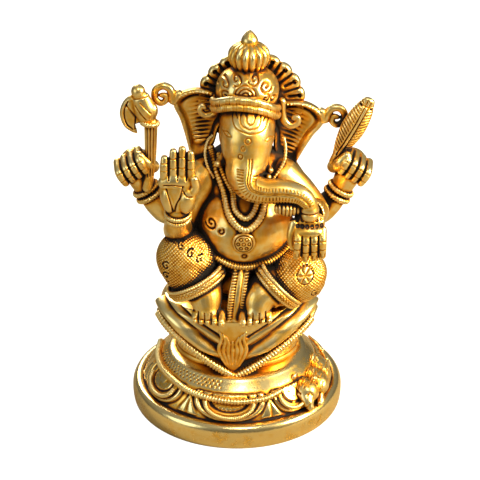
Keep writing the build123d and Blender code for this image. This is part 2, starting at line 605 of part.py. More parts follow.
# -------------------------------------------- rear arms with pegs, fists and double bangles
rear_arms, fists, rear_bangles = {}, {}, {}
for side, name in ((-1, "right"), (1, "left")):
    root = rear_roots[side]
    elbow = Vector(FIGURE_X + side * 23.2, 1.5, root.Z - 15.2)
    wrist = Vector(FIGURE_X + side * 31.6, 0, root.Z - 4.0)
    arm = limb([root, elbow, wrist], [ARM_RADIUS * 1.15, ARM_RADIUS, WRIST_RADIUS])
    front_arm = right_arm if side < 0 else left_arm
    arm_body = cut_from(arm, torso_whole, head_part, ears[side], front_arm, *legs.values())
    with BuildPart() as rear_arm:
        add(arm_body)
        with Locations(Plane(origin=root + Vector(side * ARM_RADIUS, 0, 0), z_dir=(side, 0, 0)).location):
            Cylinder(
                PEG_DIAMETER / 2, PEG_LENGTH + ARM_RADIUS, align=(Align.CENTER, Align.CENTER, Align.MAX)
            )
    rear_arms[side] = rear_arm.part

    forearm = (wrist - elbow).normalized()
    palm = wrist + forearm * FIST_RADIUS * 1.05 + Vector(-side * 0.6, -1.0, 5.2)
    fist = limb([wrist, palm], [WRIST_RADIUS * 0.9, FIST_RADIUS * 0.86])
    for finger in range(4):
        knuckle_z = palm.Z + (1.5 - finger) * FINGER_RADIUS * 1.75
        outside = Vector(palm.X + side * FIST_RADIUS * 0.75, palm.Y - 1.0, knuckle_z)
        inside = Vector(palm.X - side * FIST_RADIUS * 0.55, palm.Y - FIST_RADIUS * 0.85, knuckle_z)
        fist = fist + limb([outside, inside], [FINGER_RADIUS, FINGER_RADIUS * 0.92])
    thumb_start = palm + Vector(-side * FIST_RADIUS * 0.7, -1.2, -FIST_RADIUS * 0.5)
    fist = fist + limb([thumb_start, thumb_start + Vector(side * 0.6, -1.6, 5.2)], [1.5, 1.25])
    fists[side] = cut_from(fist, rear_arms[side], ears[side])

    bangles = []
    for place in (0.4, 2.7):
        bangle = ring(wrist - forearm * place, forearm, WRIST_RADIUS + place * 0.08, BANGLE_RADIUS)
        bangles.append(cut_from(bangle, rear_arms[side], fists[side], *bangles))
    keep(f"{name}_rear_arm", rear_arms[side])
    keep(f"{name}_rear_hand", fists[side])
    rear_bangles[side] = bangles
    keep(f"{name}_rear_bangles", *bangles)

# -------------------------------------------- axe held in the right rear hand
axe_fist = fists[-1].center()
axe_foot = Vector(axe_fist.X + 2.4, axe_fist.Y - 2.6, axe_fist.Z - 6.5)
axe_neck = Vector(axe_fist.X + 3.6, axe_foot.Y, axe_fist.Z + 14.2)
shaft_radius = 1.35
shaft = limb([axe_foot, axe_neck], [shaft_radius, shaft_radius])
shaft_part = cut_from(shaft, fists[-1], ears[-1], rear_arms[-1], *rear_bangles[-1])
collar = ring(axe_neck, axe_neck - axe_foot, shaft_radius + 0.2, 0.85)
collar_part = cut_from(collar, shaft_part, ears[-1])
axe_top = axe_neck + Vector(-2.6, 0, 8.6)
with BuildPart() as axe_head:
    add(limb([axe_neck + Vector(0, 0, 0.6), axe_top, axe_top + Vector(-0.5, 0, 3.6)], [1.4, 2.5, 0.6]))
    with BuildSketch(Plane(origin=axe_neck + Vector(-3.2, 0, 4.2), x_dir=(1, 0, 0), z_dir=(0, -1, 0))):
        Circle(6.0)
        with Locations((-4.6, 5.6)):
            Circle(4.6, mode=Mode.SUBTRACT)
    extrude(amount=0.95, both=True)
axe_head_part = cut_from(axe_head.part, shaft_part, collar_part, ears[-1])
keep("axe_shaft", shaft_part)
keep("axe_collar", collar_part)
keep("axe_head", axe_head_part)

# -------------------------------------------- long bud held in the left rear hand
leaf_fist = fists[1].center()
leaf_foot = Vector(leaf_fist.X - 4.4, leaf_fist.Y - 1.6, leaf_fist.Z + 3.4)
leaf_tip = leaf_foot + Vector(10.6, 0, 18.0)
leaf_axis = leaf_tip - leaf_foot
leaf_across = Vector(leaf_axis.Z, 0, -leaf_axis.X)
leaf_shares = ((0.0, 0.4), (0.22, 0.8), (0.5, 1.0), (0.78, 0.64), (1.0, 0.08))
with BuildPart() as leaf:
    for place, share in leaf_shares:
        with BuildSketch(Plane(origin=leaf_foot + leaf_axis * place, x_dir=leaf_across, z_dir=leaf_axis)):
            Ellipse(LEAF_WIDTH / 2 * share, LEAF_THICK / 2 * share)
    loft(ruled=True)
leaf_part = cut_from(leaf.part, fists[1])
keep("leaf_emblem", leaf_part)


# -------------------------------------------- carpet hem and swags laid on the plinth's mound
def on_mound(turn, height, proud=0.0):
    """A point on the mound's skin, or proud of it, that faces turn degrees left of front."""
    rise = (height - BAND_HEIGHT) / MOUND_RISE
    half = mound_width / 2 - (mound_width - MOUND_TOP_WIDTH) / 2 * (0.35 * rise + 0.65 * rise**2)
    spot = Vector(0, -half - proud, height).rotate(Axis.Z, turn)
    return Vector(spot.X, spot.Y * mound_ratio, spot.Z)


hem_course = ((-104, 16.4), (-70, 16.2), (-36, 15.4), (-3, 14.9), (18, 15.1), (30, 15.8))
hem_cord = cord([on_mound(turn, height, 0.3) for turn, height in hem_course], 1.35)
carpet_hem = cut_from(hem_cord, plinth.part)
keep("carpet_hem", carpet_hem)

mouse_course = ((50, 15.5, 4.4), (63, 15.5, 5.6), (76, 14.0, 4.2))
mouse_line = [on_mound(turn, height) for turn, height, radius in mouse_course]
mouse_body = limb(mouse_line, [radius for turn, height, radius in mouse_course])
muzzle = on_mound(42, 12.5)
mouse_nose = muzzle + Vector(-2.4, -1.6, -1.6)
mouse_head = limb([mouse_line[0] + Vector(0, 0, 1), muzzle, mouse_nose], [3.6, 2.7, 1.1])
mouse_ears = [ellipsoid(muzzle + Vector(1.4, y, 3.0), 1.6, 3.2, 3.6) for y in (-1.6, 1.8)]
mouse = mouse_body + mouse_head + mouse_ears[0] + mouse_ears[1]
mouse_part = cut_from(mouse, plinth.part, seat_core, drape_part, *hem_sides, carpet_hem)
keep("mouse", mouse_part)
tail = cord([on_mound(turn, height) for turn, height in ((80, 13), (90, 11.5), (102, 12.5), (114, 11.5))], 0.9)
tail_part = cut_from(tail, plinth.part, mouse_part)
keep("mouse_tail", tail_part)

swags = []
for middle, reach in ((-58, 19), (-5, 23), (38, 15)):
    course = ((-1, 14.0), (-0.75, 11.6), (0, 9.8), (0.75, 11.6), (1, 14.0))
    swag = cord([on_mound(middle + reach * share, height, 0.35) for share, height in course], 0.9)
    swags.append(cut_from(swag, plinth.part, carpet_hem, mouse_part, *swags))
keep("carpet_swags", *swags)
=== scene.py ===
"""A seated elephant-headed figure in aged brass, on a draped stool and a round plinth with a mouse."""

import math
import random

import bpy
import numpy as np
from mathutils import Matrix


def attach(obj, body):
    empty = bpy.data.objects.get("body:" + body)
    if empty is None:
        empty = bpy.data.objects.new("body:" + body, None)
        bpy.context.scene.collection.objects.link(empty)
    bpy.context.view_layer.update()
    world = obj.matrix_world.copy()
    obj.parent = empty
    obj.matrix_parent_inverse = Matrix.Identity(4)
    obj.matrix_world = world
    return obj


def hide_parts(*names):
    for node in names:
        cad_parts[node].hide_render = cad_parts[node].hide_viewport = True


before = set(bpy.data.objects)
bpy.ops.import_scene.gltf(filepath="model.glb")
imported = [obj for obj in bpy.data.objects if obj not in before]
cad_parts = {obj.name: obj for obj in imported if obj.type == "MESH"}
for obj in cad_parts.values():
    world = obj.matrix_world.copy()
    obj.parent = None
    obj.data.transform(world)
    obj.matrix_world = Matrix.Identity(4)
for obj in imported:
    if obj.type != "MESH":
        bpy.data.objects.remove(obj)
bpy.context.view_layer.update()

# ------------------------------------------------------------------ brass
# The idol is cast in yellow brass, dipped in a dark wash and then buffed: the wash stays in the
# hollows as a brown-black crust and thins to orange at their edges, and what stands proud is
# bright. The same darkening also carries painted shade where other skin lies close above a point:
# between pieces, under the arms and behind the trunk. Each piece carries two values for this, one
# for the crust with its painted shade and one for the crest, worked out at the very end.


class Wire:
    """A value in a material. Sums on it become Math nodes."""

    def __init__(self, tree, socket):
        self.tree, self.socket = tree, socket

    def node(self, kind, settings=None, inputs=None, output=0):
        """Any node, from its type, its settings and the values or links of its sockets."""
        made = self.tree.nodes.new(kind)
        for key, value in (settings or {}).items():
            if key == "stops":
                while len(made.color_ramp.elements) < len(value):
                    made.color_ramp.elements.new(0.5)
                for stop, (place, colour) in zip(made.color_ramp.elements, value):
                    stop.position, stop.color = place, (*colour, 1)
            else:
                setattr(made, key, value)
        for key, value in (inputs or {}).items():
            if isinstance(value, Wire):
                self.tree.links.new(value.socket, made.inputs[key])
            else:
                made.inputs[key].default_value = value
        return Wire(self.tree, made.outputs[output])

    def sum(self, operation, left, right):
        return self.node("ShaderNodeMath", {"operation": operation}, {0: left, 1: right})

    def __add__(self, other):
        return self.sum("ADD", self, other)

    __radd__ = __add__

    def __mul__(self, other):
        return self.sum("MULTIPLY", self, other)

    __rmul__ = __mul__

    def __sub__(self, other):
        return self.sum("SUBTRACT", self, other)

    def __rsub__(self, other):
        return self.sum("SUBTRACT", other, self)

    def held(self):
        """The value kept between 0 and 1."""
        return self.node("ShaderNodeClamp", None, {"Value": self})


def brass(name, polish):
    """Aged brass; polish 1 is buffed bright."""
    finish = bpy.data.materials.new(name)
    finish.use_nodes = True
    tree = finish.node_tree
    shader = tree.nodes["Principled BSDF"]
    place = Wire(tree, tree.nodes.new("ShaderNodeTexCoord").outputs["Object"])
    crust, crest = (
        place.node("ShaderNodeAttribute", {"attribute_name": value}, output=2) for value in ("crust", "crest")
    )
    cloud, grain, pits = (
        place.node("ShaderNodeTexNoise", None, {"Vector": place, "Scale": scale, "Detail": detail})
        for scale, detail in ((130.0, 5.0), (1500.0, 3.0), (420.0, 6.0))
    )
    # The darkening is the wash in the hollows plus painted shade where pieces crowd together; buffed crests
    # are paler.
    wash_and_shade = crust * 1.25 + (cloud - 0.5) * 0.6 + (pits - 0.5) * 0.4 - crest * 0.5
    wash_and_shade = (wash_and_shade + 0.11 - polish * 0.1).held()
    stops = [
        (0.0, (0.95, 0.72, 0.30)),
        (0.14, (0.90, 0.54, 0.105)),
        (0.34, (0.78, 0.36, 0.03)),
        (0.54, (0.46, 0.15, 0.013)),
        (0.76, (0.075, 0.028, 0.009)),
        (1.0, (0.012, 0.007, 0.004)),
    ]
    colour = wash_and_shade.node("ShaderNodeValToRGB", {"stops": stops}, {0: wash_and_shade})
    rough = (wash_and_shade * 0.55 + (grain - 0.5) * 0.12 + (0.30 - polish * 0.12)).held()
    metal = (1.0 - (wash_and_shade - 0.55).held() * 1.6).held()
    relief = grain * 0.35 + pits * 0.65
    bump = relief.node("ShaderNodeBump", None, {"Height": relief, "Strength": 0.16, "Distance": 0.00025})
    for key, wire in (("Base Color", colour), ("Roughness", rough), ("Metallic", metal), ("Normal", bump)):
        tree.links.new(wire.socket, shader.inputs[key])
    return finish


aged_brass = brass("aged brass", 0.0)
buffed_brass = brass("buffed brass", 0.6)

# ------------------------------------------------------------------ plinth and its mound
# One hollow casting: a plain polished foot band, a narrow ledge and a domed mound. The mound
# carries the carpet in low relief, pressed into the wax: three swags with points between them,
# a field of punched diamonds, and chased rays at the side.

MM = 0.001
poured = []


def smooth_line(points, per=8):
    """A smooth line through the points, whatever they carry: places, or places and a radius."""
    given = np.asarray(points, float)
    if len(given) == 2:
        return given[0] + (given[1] - given[0]) * np.linspace(0, 1, per + 1)[:, None]
    ends = np.vstack([2 * given[0] - given[1], given, 2 * given[-1] - given[-2]])
    share = np.linspace(0, 1, per, endpoint=False)[:, None]
    runs = []
    for a, b, c, d in zip(ends, ends[1:], ends[2:], ends[3:]):
        curve = 2 * b + (c - a) * share + (2 * a - 5 * b + 4 * c - d) * share**2
        runs.append(0.5 * (curve + (3 * b - a - 3 * c + d) * share**3))
    return np.vstack(runs + [given[-1:]])


def skin(rings, start, end):
    """A closed skin over a stack of rings, with a pole at each end."""
    count, sides, _ = rings.shape
    index = np.arange(count * sides).reshape(count, sides)
    after = np.roll(index, -1, axis=1)
    quads = np.stack([index[:-1], after[:-1], after[1:], index[1:]], -1).reshape(-1, 4)
    first = np.stack([np.full(sides, count * sides), after[0], index[0]], -1)
    last = np.stack([index[-1], after[-1], np.full(sides, count * sides + 1)], -1)
    return np.vstack([rings.reshape(-1, 3), [start], [end]]), quads, np.vstack([first, last])


class Wax:
    """A wax model: a closed skin of points, four-sided faces and three-sided faces, in millimetres."""

    def __init__(self, spots, quads, tris):
        self.spots, self.quads, self.tris = spots, quads, tris

    def normals(self):
        s, total = self.spots, np.zeros_like(self.spots)
        for faces, a, b, c, d in ((self.quads, 0, 2, 1, 3), (self.tris, 0, 1, 0, 2)):
            if len(faces):
                across = np.cross(s[faces[:, b]] - s[faces[:, a]], s[faces[:, d]] - s[faces[:, c]])
                for corner in range(faces.shape[1]):
                    for axis in range(3):
                        total[:, axis] += np.bincount(faces[:, corner], across[:, axis], len(s))
        return total / np.maximum(np.linalg.norm(total, axis=1), 1e-9)[:, None]

    def rub(self, rounds, share=0.5):
        """Smooths the skin by moving each point towards the middle of its neighbours."""
        kinds = [faces for faces in (self.quads, self.tris) if len(faces)]
        ends = [(f[:, i], f[:, (i + 1) % f.shape[1]]) for f in kinds for i in range(f.shape[1])]
        one = np.concatenate([pair for a, b in ends for pair in (a, b)])
        two = np.concatenate([pair for a, b in ends for pair in (b, a)])
        size = len(self.spots)
        many = np.maximum(np.bincount(one, minlength=size), 1)[:, None]
        for _ in range(rounds):
            middle = np.stack([np.bincount(one, self.spots[two, axis], size) for axis in range(3)], -1) / many
            self.spots = self.spots + (middle - self.spots) * share
        return self

    def push(self, height):
        """Moves each point out along its normal."""
        self.spots = self.spots + self.normals() * np.asarray(height)[:, None]
        return self


def gap(spots, line):
    """How far each point is from a line, in as many dimensions as both have."""
    best = np.full(len(spots), 1e9)
    for a, b in zip(line, line[1:]):
        run = b - a
        share = np.clip((spots - a) @ run / max(run @ run, 1e-12), 0, 1)
        best = np.minimum(best, np.linalg.norm(spots - a - share[:, None] * run, axis=1))
    return best


def dents(flat, lines, width):
    """A soft groove's depth, 0 to 1, at flat points, along every one of the lines."""
    depth = np.zeros(len(flat))
    for line in lines:
        line = np.asarray(line, float)
        reach = 2.6 * width
        near = np.all((flat > line.min(0) - reach) & (flat < line.max(0) + reach), axis=1)
        if near.any():
            depth[near] = np.maximum(depth[near], np.exp(-((gap(flat[near], line) / width) ** 2)))
    return depth


FRONT = np.array([[1.0, 0, 0], [0, 0, 1.0]])


def draw(wax, lines, width, depth, view=FRONT):
    """Presses lines, drawn flat on a view, into the side of the wax that faces it."""
    seen = wax.normals() @ np.cross(view[0], view[1]) > 0.12
    height = np.zeros(len(wax.spots))
    height[seen] = -depth * dents(wax.spots[seen] @ view.T, lines, width)
    return wax.push(height)


def pour(name, wax, *nodes, finish=aged_brass, slot="aged_brass"):
    """Makes the finished piece of a wax model, which stands for its CAD nodes."""
    mesh = bpy.data.meshes.new(name)
    mesh.from_pydata((wax.spots * MM).tolist(), [], wax.quads.tolist() + np.asarray(wax.tris).tolist())
    mesh.shade_smooth()
    mesh.materials.append(finish)
    return place(name, mesh, nodes, slot)


def place(name, mesh, nodes, slot):
    """Puts a finished mesh in the scene, in place of its CAD nodes."""
    piece = bpy.data.objects.new(name, mesh)
    bpy.context.scene.collection.objects.link(piece)
    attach(piece, "root")
    if nodes:
        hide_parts(*nodes)
    poured.append(piece)
    return piece


plinth_half = (36.0, 34.0)
flatten = plinth_half[1] / plinth_half[0]
band_top, mound_top = 8.5, 20.0
mound_foot, mound_crest = 32.0, 22.0


def mound_half(height):
    rise = (height - band_top) / (mound_top - band_top)
    return mound_foot - (mound_foot - mound_crest) * (0.35 * rise + 0.65 * rise**2)


def on_mound(turn, height, proud=0.0):
    """A point on the mound's skin that faces turn degrees left of front."""
    facing = math.radians(turn)
    half = mound_half(height) + proud
    return np.array([half * math.sin(facing), -half * math.cos(facing), height + proud * 0.6])


def evenly(line, pitch):
    """The same line with its points one pitch apart."""
    run = np.concatenate([[0], np.cumsum(np.linalg.norm(np.diff(line, axis=0), axis=1))])
    even = np.arange(0, run[-1], pitch)
    return np.stack([np.interp(even, run, line[:, axis]) for axis in (0, 1)], -1)


def turned_about(profile, turns):
    """How far across, deep and tall each point is when a profile turns about the upright axis."""
    radius, tall = profile.T
    return np.outer(radius, np.sin(turns)), -np.outer(radius, np.cos(turns)), np.outer(tall, turns * 0 + 1)


def scallop(turn, height, middle, reach, top, depth):
    """How far a point of the mound is from a swag's hanging point, as a share of its outline."""
    return np.hypot((turn - middle) / reach, (top - height) / depth) + np.where(height > top + 1.2, 9, 0)


def step(value, edge, blur):
    """0 below the edge, 1 above it, with a soft change between."""
    share = np.clip((value - edge) / blur + 0.5, 0, 1)
    return share * share * (3 - 2 * share)


def ridge(value, middle, width):
    return np.exp(-(((value - middle) / width) ** 2))


swag_places = ((-58, 20), (-5, 23.5), (39, 15.5))
swag_top, swag_depth = 14.6, 6.1
band_profile = [(31.9, 1.6), (31.9, 0.02), (32.6, 0.0), (34.6, 0.0), (35.3, 0.25), (35.75, 1.2), (35.98, 3.2)]
band_profile += [(36.0, 5.0), (35.85, 6.4), (35.3, 7.6), (34.5, 8.3), (33.6, 8.5), (32.7, 8.35), (32.1, 8.2)]
mound_profile = [(mound_half(h), h) for h in np.linspace(band_top, mound_top - 0.5, 14)]
top_profile = [(20.6, 20.0), (16.0, 20.2), (10.0, 20.25), (4.0, 20.25), (0.6, 20.25)]
profile = evenly(smooth_line(band_profile[2:] + mound_profile + top_profile, 12), 0.36)
profile = np.vstack([band_profile[:2], profile])
across, deep, tall = turned_about(profile, np.linspace(0, 2 * np.pi, 540, endpoint=False))
plinth = Wax(*skin(np.stack([across, deep * flatten, tall], -1), (0, 0, 1.6), (0, 0, 20.25)))
turn = np.degrees(np.arctan2(plinth.spots[:, 0], -plinth.spots[:, 1] / flatten))
height = plinth.spots[:, 2]
on_carpet = step(height, band_top + 0.25, 0.5) * (height < mound_top + 1)
on_carpet *= np.hypot(*plinth.spots[:, :2].T) < 33.5
relief = np.zeros(len(height))
for middle, reach in swag_places:
    share = scallop(turn, height, middle, reach, swag_top, swag_depth)
    pad = (1 - step(share, 1.0, 0.07)) * 0.8
    bands = -0.55 * ridge(share, 0.80, 0.035) - 0.55 * ridge(share, 0.53, 0.04)
    bands = bands + 0.25 * ridge(share, 0.9, 0.06)
    angle = np.arctan2((turn - middle) / reach, (swag_top - height) / swag_depth)
    ticks = -0.22 * (0.5 + 0.5 * np.cos(angle * 26)) ** 2 * (share < 0.46) * (share > 0.18)
    relief = np.maximum(relief, pad) + (bands + ticks) * (share < 1.0)
for middle in (-31.5, 21.0, -82.0, 58.0):
    rise = (height - 9.0) / 5.6
    leaf = np.abs(turn - middle) / np.maximum(6.5 * (1 - rise) + 0.2, 0.05)
    inside = (1 - step(leaf, 1.0, 0.25)) * (rise > 0) * (rise < 1)
    relief += inside * 0.55 - 0.35 * inside * ridge(leaf, 0.0, 0.14)
along, up = (turn + 100) / 3.6, height / 1.5
diamond = np.abs((along + up) % 1 - 0.5) + np.abs((along - up) % 1 - 0.5)
field = (turn > -86) & (turn < -12) & (height > 16.8) & (height < 19.4)
relief -= 0.34 * step(diamond, 0.72, 0.2) * field
rays = 0.5 + 0.5 * np.cos((turn + height * 2.4) * 2.1)
sides = step(np.abs(turn + 4), 84, 6)
relief -= 0.2 * rays**3 * sides * step(height, 9.6, 0.6) * (1 - step(height, 15.4, 1.2))
relief -= 0.3 * ridge(height, 15.9, 0.35) * sides
plinth.push(relief * on_carpet)
pour("plinth_casting", plinth, "plinth", finish=buffed_brass, slot="plinth_brass")

# ------------------------------------------------------------------ ribbed cords
# The founder rolls these from wax thread and nicks them all along: the hems, necklaces, belt,
# ankle cords and bangles. Each is a smooth core with evenly spaced ribs round it.


def cord_tree():
    """The node tree that puts evenly spaced ribs round a core along a curve."""
    tree = bpy.data.node_groups.new("ribbed cord", "GeometryNodeTree")
    sockets = (("Core", 0.0005), ("Rib", 0.0006), ("Spacing", 0.0008), ("Rib length", 0.6))
    tree.interface.new_socket("Geometry", in_out="INPUT", socket_type="NodeSocketGeometry")
    for name, value in sockets:
        tree.interface.new_socket(name, in_out="INPUT", socket_type="NodeSocketFloat").default_value = value
    tree.interface.new_socket("Finish", in_out="INPUT", socket_type="NodeSocketMaterial")
    tree.interface.new_socket("Geometry", in_out="OUTPUT", socket_type="NodeSocketGeometry")
    kinds = {
        "given": "NodeGroupInput", "result": "NodeGroupOutput", "spots": "GeometryNodeResampleCurve",
        "bead": "GeometryNodeMeshUVSphere", "squash": "GeometryNodeTransform",
        "way": "GeometryNodeInputTangent", "scale": "ShaderNodeCombineXYZ",
        "turn": "FunctionNodeAlignRotationToVector", "ribs": "GeometryNodeInstanceOnPoints",
        "ring": "GeometryNodeCurvePrimitiveCircle", "core": "GeometryNodeCurveToMesh",
        "join": "GeometryNodeJoinGeometry", "whole": "GeometryNodeRealizeInstances",
        "smooth": "GeometryNodeSetShadeSmooth", "finish": "GeometryNodeSetMaterial",
    }
    made = {name: tree.nodes.new(kind) for name, kind in kinds.items()}
    made["spots"].mode, made["turn"].axis = "LENGTH", "Z"
    values = {"bead": {"Segments": 12, "Rings": 7}, "ring": {"Resolution": 14}, "scale": {0: 1.0, 1: 1.0}}
    values["core"] = {"Fill Caps": True}
    for name, settings in values.items():
        for socket, value in settings.items():
            made[name].inputs[socket].default_value = value
    links = (
        "given.Geometry > spots.Curve", "given.Spacing > spots.Length", "given.Rib > bead.Radius",
        "given.Rib length > scale.Z", "bead.Mesh > squash.Geometry", "scale.Vector > squash.Scale",
        "way.Tangent > turn.Vector", "spots.Curve > ribs.Points", "squash.Geometry > ribs.Instance",
        "turn.Rotation > ribs.Rotation", "given.Core > ring.Radius", "given.Geometry > core.Curve",
        "ring.Curve > core.Profile Curve", "core.Mesh > join.Geometry", "ribs.Instances > join.Geometry",
        "join.Geometry > whole.Geometry", "whole.Geometry > smooth.Geometry",
        "smooth.Geometry > finish.Geometry", "given.Finish > finish.Material",
        "finish.Geometry > result.Geometry",
    )
    for link in links:
        (start, output), (end, socket) = (half.split(".") for half in link.split(" > "))
        tree.links.new(made[start].outputs[output], made[end].inputs[socket])
    return tree


cord_nodes = cord_tree()


def ribbed(name, lines, rib, spacing, *nodes, core=0.8, length=0.5, closed=False):
    """Ribbed cords along lines of places, in millimetres; core is a share of the ribs' radius."""
    route = bpy.data.curves.new(name, "CURVE")
    route.dimensions = "3D"
    for line in lines:
        spline = route.splines.new("POLY")
        spline.points.add(len(line) - 1)
        spline.points.foreach_set("co", np.column_stack([np.asarray(line) * MM, np.ones(len(line))]).ravel())
        spline.use_cyclic_u = closed
    maker = bpy.data.objects.new(name + "_route", route)
    bpy.context.scene.collection.objects.link(maker)
    tree = maker.modifiers.new("ribs", "NODES")
    tree.node_group = cord_nodes
    sizes = {"Core": rib * core * MM, "Rib": rib * MM, "Spacing": spacing * MM, "Rib length": length}
    sizes["Finish"] = aged_brass
    for item in cord_nodes.interface.items_tree:
        if item.in_out == "INPUT" and item.name in sizes:
            tree[item.identifier] = sizes[item.name]
    view = bpy.context.evaluated_depsgraph_get()
    mesh = bpy.data.meshes.new_from_object(maker.evaluated_get(view), depsgraph=view)
    bpy.data.objects.remove(maker)
    return place(name, mesh, nodes, "aged_brass")


hem_course = [(-104, 16.2), (-86, 16.4), (-66, 16.3), (-40, 15.7)]
hem_course += [(-20, 15.2), (0, 14.9), (18, 15.1), (31, 15.9)]
hem_line = smooth_line([on_mound(turn, height, 0.55) for turn, height in hem_course], 14)
ribbed("carpet_hem_cord", [hem_line], 1.15, 1.0, "carpet_hem", core=0.72, length=0.42)
swag_lines = []
for middle, reach in swag_places:
    angles = np.radians(np.linspace(-84, 84, 30))
    turns, heights = middle + reach * 0.66 * np.sin(angles), swag_top - swag_depth * 0.66 * np.cos(angles)
    swag_lines.append(smooth_line([on_mound(turn, height, 1.0) for turn, height in zip(turns, heights)], 2))
ribbed("carpet_swag_cords", swag_lines, 0.72, 0.62, "carpet_swags")

# ------------------------------------------------------------------ mouse
# The mouse is one lump of wax on the mound: haunch, shoulders, a head that looks down and
# outwards, round ears and paws. Its thin tail is laid on apart, and its fur is short chased ticks.


def ball(centre, size, lean=0.0, turned=0.0, sides=36):
    """A closed ball squashed to three diameters, then leant in the front view and turned from above."""
    lat = np.pi * np.arange(1, sides // 2) / (sides // 2)
    lon = 2 * np.pi * np.arange(sides) / sides
    flat = [np.outer(np.sin(lat), np.cos(lon)), np.outer(np.sin(lat), np.sin(lon))]
    rings = np.stack(flat + [np.outer(np.cos(lat), lon * 0 + 1)], -1)
    spots, quads, tris = skin(rings, (0, 0, 1), (0, 0, -1))
    spots = spots * np.asarray(size, float) / 2
    c, s = math.cos(math.radians(lean)), math.sin(math.radians(lean))
    spots = spots @ np.array([[c, 0, -s], [0, 1, 0], [s, 0, c]])
    c, s = math.cos(math.radians(turned)), math.sin(math.radians(turned))
    spots = spots @ np.array([[c, s, 0], [-s, c, 0], [0, 0, 1]])
    return spots + np.asarray(centre, float), quads, tris


def unit(rows):
    return rows / np.maximum(np.linalg.norm(rows, axis=-1, keepdims=True), 1e-9)


def tube(points, radii, flat=1.0, thin=(0.0, -1.0, 0.0), sides=24, per=8):
    """A closed limb with round ends. With flat under 1 it is a strap, thin in one direction."""
    line = smooth_line(np.column_stack([np.asarray(points, float), radii]), per)
    spots, radius = line[:, :3], np.maximum(line[:, 3], 0.06)
    along = unit(np.gradient(spots, axis=0))
    thin = np.asarray(thin, float)
    out = thin - (along @ thin)[:, None] * along
    weak = np.linalg.norm(out, axis=1) < 0.25
    out[weak] = np.cross(along[weak], np.array([1.0, 0.3, 0.2]))
    out = unit(out)
    wide = np.cross(along, out)
    lon = 2 * np.pi * np.arange(sides) / sides
    ring = wide[:, None] * np.cos(lon)[:, None] + out[:, None] * np.sin(lon)[:, None] * flat
    body = spots[:, None] + ring * radius[:, None, None]
    front, back = (
        [spots[i] + way * along[i] * radius[i] * math.sin(a) * flat + ring[i] * radius[i] * math.cos(a)
         for a in np.radians([66, 44, 22])]
        for i, way in ((0, -1), (-1, 1))
    )
    rings = np.concatenate([np.array(front), body, np.array(back[::-1])])
    return skin(rings, spots[0] - along[0] * radius[0] * flat, spots[-1] + along[-1] * radius[-1] * flat)


def numbers(items, key, width, kind=float):
    """One attribute of all the items of a mesh, a row for each."""
    values = np.zeros(len(items) * width, kind)
    items.foreach_get(key, values)
    return values.reshape(-1, width)


def cast(parts, voxel=0.3, rubs=2):
    """One wax model from overlapping closed pieces: fused, then rubbed smooth."""
    mesh, spots, faces, count = bpy.data.meshes.new("wax"), [], [], 0
    for piece_spots, quads, tris in parts:
        spots.append(piece_spots)
        faces += (quads + count).tolist() + (tris + count).tolist()
        count += len(piece_spots)
    mesh.from_pydata(np.vstack(spots).tolist(), [], faces)
    lump = bpy.data.objects.new("wax", mesh)
    bpy.context.scene.collection.objects.link(lump)
    fuse = lump.modifiers.new("fuse", "REMESH")
    fuse.mode, fuse.voxel_size, fuse.adaptivity = "VOXEL", voxel, 0.0
    fused = bpy.data.meshes.new_from_object(lump.evaluated_get(bpy.context.evaluated_depsgraph_get()))
    bpy.data.objects.remove(lump)
    spots, quads = numbers(fused.vertices, "co", 3), numbers(fused.loops, "vertex_index", 1, int)
    bpy.data.meshes.remove(fused)
    return Wax(spots, quads.reshape(-1, 4), np.zeros((0, 3), int)).rub(rubs)


mouse = cast(
    [
        ball((26.6, -5.6, 13.0), (9.6, 15.0, 9.4), turned=20),
        ball((25.6, -12.6, 12.8), (9.6, 13.0, 8.8), turned=30),
        ball((22.8, -18.6, 13.0), (8.4, 9.4, 8.2), turned=35),
        tube([(22.4, -20.0, 12.6), (23.4, -22.8, 11.0), (24.2, -24.0, 9.9)], [3.5, 2.2, 1.2]),
        ball((19.2, -16.6, 16.6), (1.8, 3.6, 3.8), turned=-35),
        ball((25.6, -17.0, 15.8), (3.4, 1.8, 3.6), turned=25),
        tube([(19.2, -19.6, 12.0), (18.2, -22.4, 10.9), (18.6, -24.0, 10.0)], [2.3, 1.6, 1.1]),
        tube([(26.8, -16.4, 11.2), (27.6, -19.0, 9.9), (27.4, -20.6, 9.3)], [2.2, 1.5, 1.0]),
        tube([(29.6, -5.0, 10.6), (29.8, -8.6, 9.8), (29.2, -11.0, 9.3)], [2.8, 1.8, 1.2]),
    ],
    0.26, 3,
)
random.seed(7)
ABOVE = np.array([[1.0, 0, 0], [0, 1.0, 0]])
fur = []
for _ in range(190):
    x, y = random.uniform(20, 34), random.uniform(-20, 2)
    fur.append([(x, y), (x - 0.3 + random.uniform(-0.3, 0.3), y - random.uniform(1.2, 2.0))])
draw(mouse, fur, 0.17, 0.22, view=ABOVE)
eyes = [[(19.2, 13.8), (19.9, 14.5), (20.7, 14.1)], [(23.2, 14.1), (24.0, 14.6), (24.7, 13.9)]]
draw(mouse, eyes, 0.3, 0.4)
draw(mouse, [smooth_line([(18.9, 10.6), (20.6, 9.6), (22.6, 10.2), (23.9, 11.6)])], 0.22, 0.3)
draw(mouse, [[(x, 9.2), (x + 0.1, 10.4)] for x in (16.0, 17.0, 24.9, 25.9)], 0.2, 0.3)
pour("mouse_body", mouse, "mouse")
tail_course = [(84, 12.5), (91, 11.2), (102, 12.4), (114, 11.6), (122, 12.6)]
tail_line = [on_mound(turn, height, 0.3) for turn, height in tail_course]
tail = cast([tube(tail_line, [1.3, 1.05, 0.9, 0.75, 0.45])], 0.22, 1)
pour("mouse_tail_cord", tail, "mouse_tail")

# ------------------------------------------------------------------ stool and its cloths
# The stool, its padded roll and the pointed front cloth are one form in the wax: an oval drum
# with the cloth's nested folds pressed into its front. The fold lines run down to one point.

